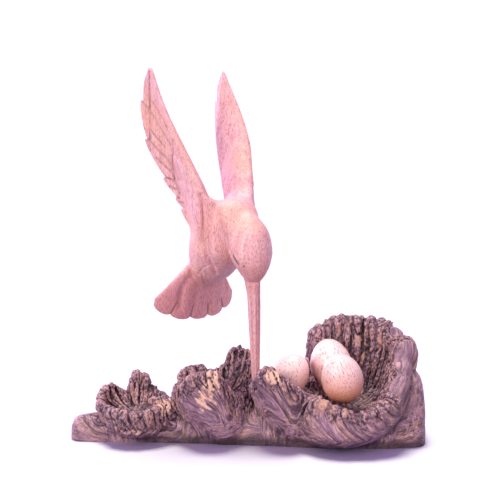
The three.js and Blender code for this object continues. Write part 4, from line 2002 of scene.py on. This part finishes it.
@dataclass(frozen=True)
class BurlWood:
    """Burl wood, brushed and oiled: smooth streaky wood below and rough dark bark in the cups."""

    pale: str = "#d2a9b3"
    tan: str = "#dbae92"
    deep: str = "#64475e"
    bark_light: str = "#8f6873"
    bark_dark: str = "#291b2a"
    # Crests of bark: painted highlight, with some rubbing
    crest: str = "#d3a9aa"
    ochre: str = "#cf9d80"
    worn: str = "#efc6ab"
    # Painted shade in the hollows, in the cracks and along the foot
    shade_colour: str = "#23141f"

    def material(self) -> bpy.types.Material:
        """Builds the material.

        Returns:
            The material.
        """
        material, add = blank_material("burl_wood_brushed_oiled")
        where = add("TexCoord", {}, {}).outputs["Object"]
        grain = add("Attribute", {"attribute_name": "grain"}, {}).outputs["Vector"]
        # Streaks of growth 2 mm wide, dark and pale, that run along the log and up the cups; the grain's
        # coordinates are in mm
        streak_look = {"Scale": 1 / 2.22, "Detail": 5.0, "Roughness": 0.65, "Distortion": 0.3}
        streaks = add("TexNoise", {}, {"Vector": grain, **streak_look}).outputs["Fac"]
        streak_share = add("MapRange", {}, {0: streaks, 1: 0.36, 2: 0.6, 3: 0.0, 4: 1.0}).outputs[0]
        tones = add("TexNoise", {}, {"Vector": grain, "Scale": 1 / 9.1, "Detail": 2.0}).outputs["Fac"]
        tone_share = add("MapRange", {}, {0: tones, 1: 0.36, 2: 0.66, 3: 0.0, 4: 1.0}).outputs[0]
        light = add(
            "Mix", MIX_COLOURS, {0: tone_share, 6: linear(self.pale), 7: linear(self.tan)}
        ).outputs[2]
        streaked = add("Mix", MIX_COLOURS, {0: streak_share, 6: linear(self.deep), 7: light}).outputs[2]
        # Now and then a streak some 5 mm wide is nearly black
        stain_look = {"Scale": 1 / 4.55, "Detail": 4.0, "Roughness": 0.65}
        stains = add("TexNoise", {}, {"Vector": grain, **stain_look}).outputs["Fac"]
        stain_share = add("MapRange", {}, {0: stains, 1: 0.52, 2: 0.6, 3: 0.0, 4: 0.85}).outputs[0]
        black = linear(self.bark_dark)
        blotched = add("Mix", MIX_COLOURS, {0: stain_share, 6: streaked, 7: black}).outputs[2]
        # Fibres 0.4 mm wide, and cloudy darker places 14 mm wide
        fibres = add("TexNoise", {}, {"Vector": grain, "Scale": 1 / 0.4167, "Detail": 2.0}).outputs["Fac"]
        fibre_share = add("MapRange", {}, {0: fibres, 1: 0.46, 2: 0.66, 3: 0.0, 4: 0.7}).outputs[0]
        fibrous = add("Mix", MIX_COLOURS, {0: fibre_share, 6: blotched, 7: linear(self.deep)}).outputs[2]
        cloud_look = {"Scale": scales(14.3)[0], "Detail": 3.0}
        clouds = add("TexNoise", {}, {"Vector": where, **cloud_look}).outputs["Fac"]
        cloud_share = add("MapRange", {}, {0: clouds, 1: 0.5, 2: 0.68, 3: 0.0, 4: 0.5}).outputs[0]
        wood = add("Mix", MIX_COLOURS, {0: cloud_share, 6: fibrous, 7: linear(self.deep)}).outputs[2]
        # Crumbs of bark 1.5 mm wide and 2 mm tall
        crumb_place = add("Mapping", {}, {"Vector": where, "Scale": scales(1.43, 1.43, 2.22)}).outputs[0]
        crumbs = add("TexNoise", {}, {"Vector": crumb_place, "Scale": 1.0, "Detail": 3.0}).outputs["Fac"]
        crumb_share = add("MapRange", {}, {0: crumbs, 1: 0.36, 2: 0.66, 3: 0.0, 4: 1.0}).outputs[0]
        bark = add(
            "Mix", MIX_COLOURS, {0: crumb_share, 6: black, 7: linear(self.bark_light)}
        ).outputs[2]
        # Flecks of ochre 3 mm wide, as where the outer bark has come off
        fleck_look = {"Scale": 1 / 3.03, "Detail": 3.0, "Distortion": 0.6}
        flecks = add("TexNoise", {}, {"Vector": grain, **fleck_look}).outputs["Fac"]
        fleck_share = add("MapRange", {}, {0: flecks, 1: 0.56, 2: 0.66, 3: 0.0, 4: 0.6}).outputs[0]
        # Crests that stand up from the bark are painted paler: a painted highlight, with some rubbing
        cavity = add("Attribute", {"attribute_name": "cavity"}, {}).outputs["Fac"]
        crest_light_share = add("MapRange", {}, {0: cavity, 1: -0.04, 2: -0.3, 3: 0.0, 4: 0.7}).outputs[0]
        rub_and_light_share = add("Math", {"operation": "MULTIPLY"}, {0: crest_light_share, 1: crumb_share}).outputs[0]
        rubbed_and_lit = add("Mix", MIX_COLOURS, {0: rub_and_light_share, 6: bark, 7: linear(self.crest)}).outputs[2]
        flecked = add("Mix", MIX_COLOURS, {0: fleck_share, 6: rubbed_and_lit, 7: linear(self.ochre)}).outputs[2]
        rough = add("Attribute", {"attribute_name": "bark"}, {}).outputs["Fac"]
        both = add("Mix", MIX_COLOURS, {0: rough, 6: wood, 7: flecked}).outputs[2]
        worn = add("Attribute", {"attribute_name": "worn"}, {}).outputs["Fac"]
        bared = add("Mix", MIX_COLOURS, {0: worn, 6: both, 7: linear(self.worn)}).outputs[2]
        # Painted shade darkens the deep hollows, the foot and the narrow cracks
        deep = add("Attribute", {"attribute_name": "deep"}, {}).outputs["Fac"]
        hollow_shade_share = add("MapRange", {}, {0: deep, 1: 0.3, 2: 2.6, 3: 0.0, 4: 0.72}).outputs[0]
        shaded = add("Mix", MIX_COLOURS, {0: hollow_shade_share, 6: bared, 7: linear(self.shade_colour)}).outputs[2]
        foot = add("Attribute", {"attribute_name": "foot"}, {}).outputs["Fac"]
        foot_shade_share = add("MapRange", {}, {0: foot, 1: 0.0, 2: 1.0, 3: 0.0, 4: 0.85}).outputs[0]
        foot_shaded = add("Mix", MIX_COLOURS, {0: foot_shade_share, 6: shaded, 7: linear(self.shade_colour)}).outputs[2]
        crack_shade_share = add("MapRange", {}, {0: cavity, 1: 0.03, 2: 0.35, 3: 0.0, 4: 0.92}).outputs[0]
        crack_shaded = add("Mix", MIX_COLOURS, {0: crack_shade_share, 6: foot_shaded, 7: linear(self.shade_colour)}).outputs[2]
        relief = add("Bump", {}, {"Height": crumb_share, "Distance": 0.5 * MM, "Strength": 0.6}).outputs[0]
        surface = add("BsdfPrincipled", {}, {"Base Color": crack_shaded, "Roughness": 0.55, "Normal": relief})
        add("OutputMaterial", {}, {"Surface": surface.outputs[0]})
        return material


# The studio


@dataclass(frozen=True)
class Viewpoint:
    """The camera, at the place the photograph was taken from."""

    aim: tuple[float, float, float] = (-2.0, 0.0, 156.0)
    distance: float = 1200.0
    elevation: float = 11.0
    focal: float = 1500.0  # in pixels of a frame 500 pixels high
    frame_height: float = 500.0
    sensor: float = 36.0

    def build(self) -> None:
        """Makes the camera and looks through it."""
        angle = math.radians(self.elevation)
        aim = np.array(self.aim) + FRAME_SHIFT
        place = (aim + (0.0, -self.distance * math.cos(angle), self.distance * math.sin(angle))) * MM
        bpy.ops.object.camera_add(location=place, rotation=(math.pi / 2 - angle, 0.0, 0.0))
        camera = bpy.context.object
        camera.data.sensor_width = self.sensor
        camera.data.lens = self.focal * self.sensor / self.frame_height
        bpy.context.scene.camera = camera


@dataclass(frozen=True)
class SoftLight:
    """Even light from one side, as from a wide softbox far off."""

    name: str
    bearing: float  # degrees round from the front, to the right
    height: float  # degrees above the level
    width: float  # degrees that the softbox seems wide
    power: float  # watts on each square metre
    colour: str

    def build(self) -> bpy.types.Object:
        """Makes the light.

        Returns:
            The light.
        """
        data = bpy.data.lights.new(self.name, "SUN")
        data.angle = math.radians(self.width)
        data.energy = self.power
        data.color = linear(self.colour)[:3]
        lamp = bpy.data.objects.new(self.name, data)
        bpy.context.collection.objects.link(lamp)
        lamp.rotation_euler = (math.radians(90 - self.height), 0.0, math.radians(self.bearing))
        return lamp


@dataclass(frozen=True)
class Studio:
    """A plain pale floor under soft light."""

    floor_colour: str = "#fdfdfd"
    floor_radius: float = 60_000.0
    floor_gap: float = 0.2  # how far the floor lies under the carving
    sky_colour: str = "#d2b6ff"
    sky_below: float = 0.32
    sky_above: float = 0.46
    sky_behind: float = 0.9
    low: float = 45.0  # degrees; lamps lower than this leave the floor alone
    lamps: tuple[SoftLight, ...] = (
        SoftLight("top_light", -165.0, 77.0, 20.0, 2.7, "#fffdf6"),
        SoftLight("left_light", -40.0, 18.0, 40.0, 2.7, "#fff3ee"),
        SoftLight("right_light", 42.0, 28.0, 40.0, 1.2, "#ffeade"),
        SoftLight("violet_light", -132.0, 8.0, 40.0, 2.8, "#e6ccff"),
    )

    def build(self) -> None:
        """Makes the floor, the sky and the lamps."""
        bpy.ops.object.select_all(action="DESELECT")
        bpy.ops.mesh.primitive_circle_add(
            vertices=96,
            radius=self.floor_radius * MM,
            fill_type="NGON",
            location=(0.0, 0.0, -self.floor_gap * MM),
        )
        floor = bpy.context.object
        floor.name = "floor"
        floor.visible_diffuse = False
        floor.data.materials.append(self.floor_finish())
        bpy.context.scene.world = self.sky()
        # The low lamps would fill the floor's shadow, which the top light and the sky leave dark and violet
        unlit = bpy.data.collections.new("floor_out_of_low_light")
        unlit.objects.link(floor)
        unlit.collection_objects[0].light_linking.link_state = "EXCLUDE"
        for lamp in self.lamps:
            placed = lamp.build()
            if lamp.height < self.low:
                placed.light_linking.receiver_collection = unlit
        bpy.context.scene.view_settings.view_transform = "Standard"

    def sky(self) -> bpy.types.World:
        """Makes a sky that is brightest overhead and behind, where the pale backdrop hangs.

        Returns:
            The sky.
        """
        world = bpy.data.worlds.new("studio_sky")
        world.use_nodes = True
        tree = world.node_tree
        add = partial(add_node, tree)
        ways = add("TexCoord", {}, {}).outputs["Generated"]
        parts = add("SeparateXYZ", {}, {0: ways}).outputs
        upward = {0: parts["Z"], 1: -1.0, 2: 1.0, 3: self.sky_below, 4: self.sky_above}
        height_share = add("MapRange", {}, upward).outputs[0]
        behind_share = add("MapRange", {}, {0: parts["Y"], 4: self.sky_behind}).outputs[0]
        strength = add("Math", {}, {0: height_share, 1: behind_share}).outputs[0]
        background = tree.nodes["Background"]
        background.inputs["Color"].default_value = linear(self.sky_colour)
        tree.links.new(strength, background.inputs["Strength"])
        return world

    def floor_finish(self) -> bpy.types.Material:
        """Makes matt white paper, even and without gloss.

        Returns:
            The material.
        """
        material, add = blank_material("white_paper_matt")
        surface = add("BsdfPrincipled", {}, {"Base Color": linear(self.floor_colour), "Roughness": 0.9})
        add("OutputMaterial", {}, {"Surface": surface.outputs[0]})
        return material


# The carving


@dataclass(frozen=True)
class Carving:
    """The bird, its burl and its eggs."""

    gap: float = 0.4  # the air left round what sits in the burl
    bird: Bird = Bird()
    burl: Burl = Burl()
    eggs: tuple[Egg, ...] = (
        Egg("egg_left", (32.8, -3, 53.8), 15, 18, (10, 30), 0.45),
        Egg("egg_back", (66.7, 18, 57.2), 17.2, 20.5, (-14, -12), 0.7),
        Egg("egg_front", (73.8, -17, 54.8), 16.8, 20.5, (10, -12), 1.0),
    )

    def build(self) -> None:
        """Builds every piece, reports it and lets it ride on the part's only body."""
        pieces = [egg.build(EggWood()) for egg in self.eggs]
        pieces.append(self.bird.build(BirdWood()))
        pieces.append(self.burl.build(BurlWood(), self.bird, self.eggs, self.gap))
        for piece in pieces:
            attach(piece, BODY)
            LOGGER.info("%s: %d faces", piece.name, len(piece.data.polygons))


def main() -> None:
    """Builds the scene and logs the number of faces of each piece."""
    logging.basicConfig(level=logging.INFO, format="%(name)s: %(message)s")
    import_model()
    Viewpoint().build()
    Studio().build()
    Carving().build()


if __name__ == "__main__":
    main()
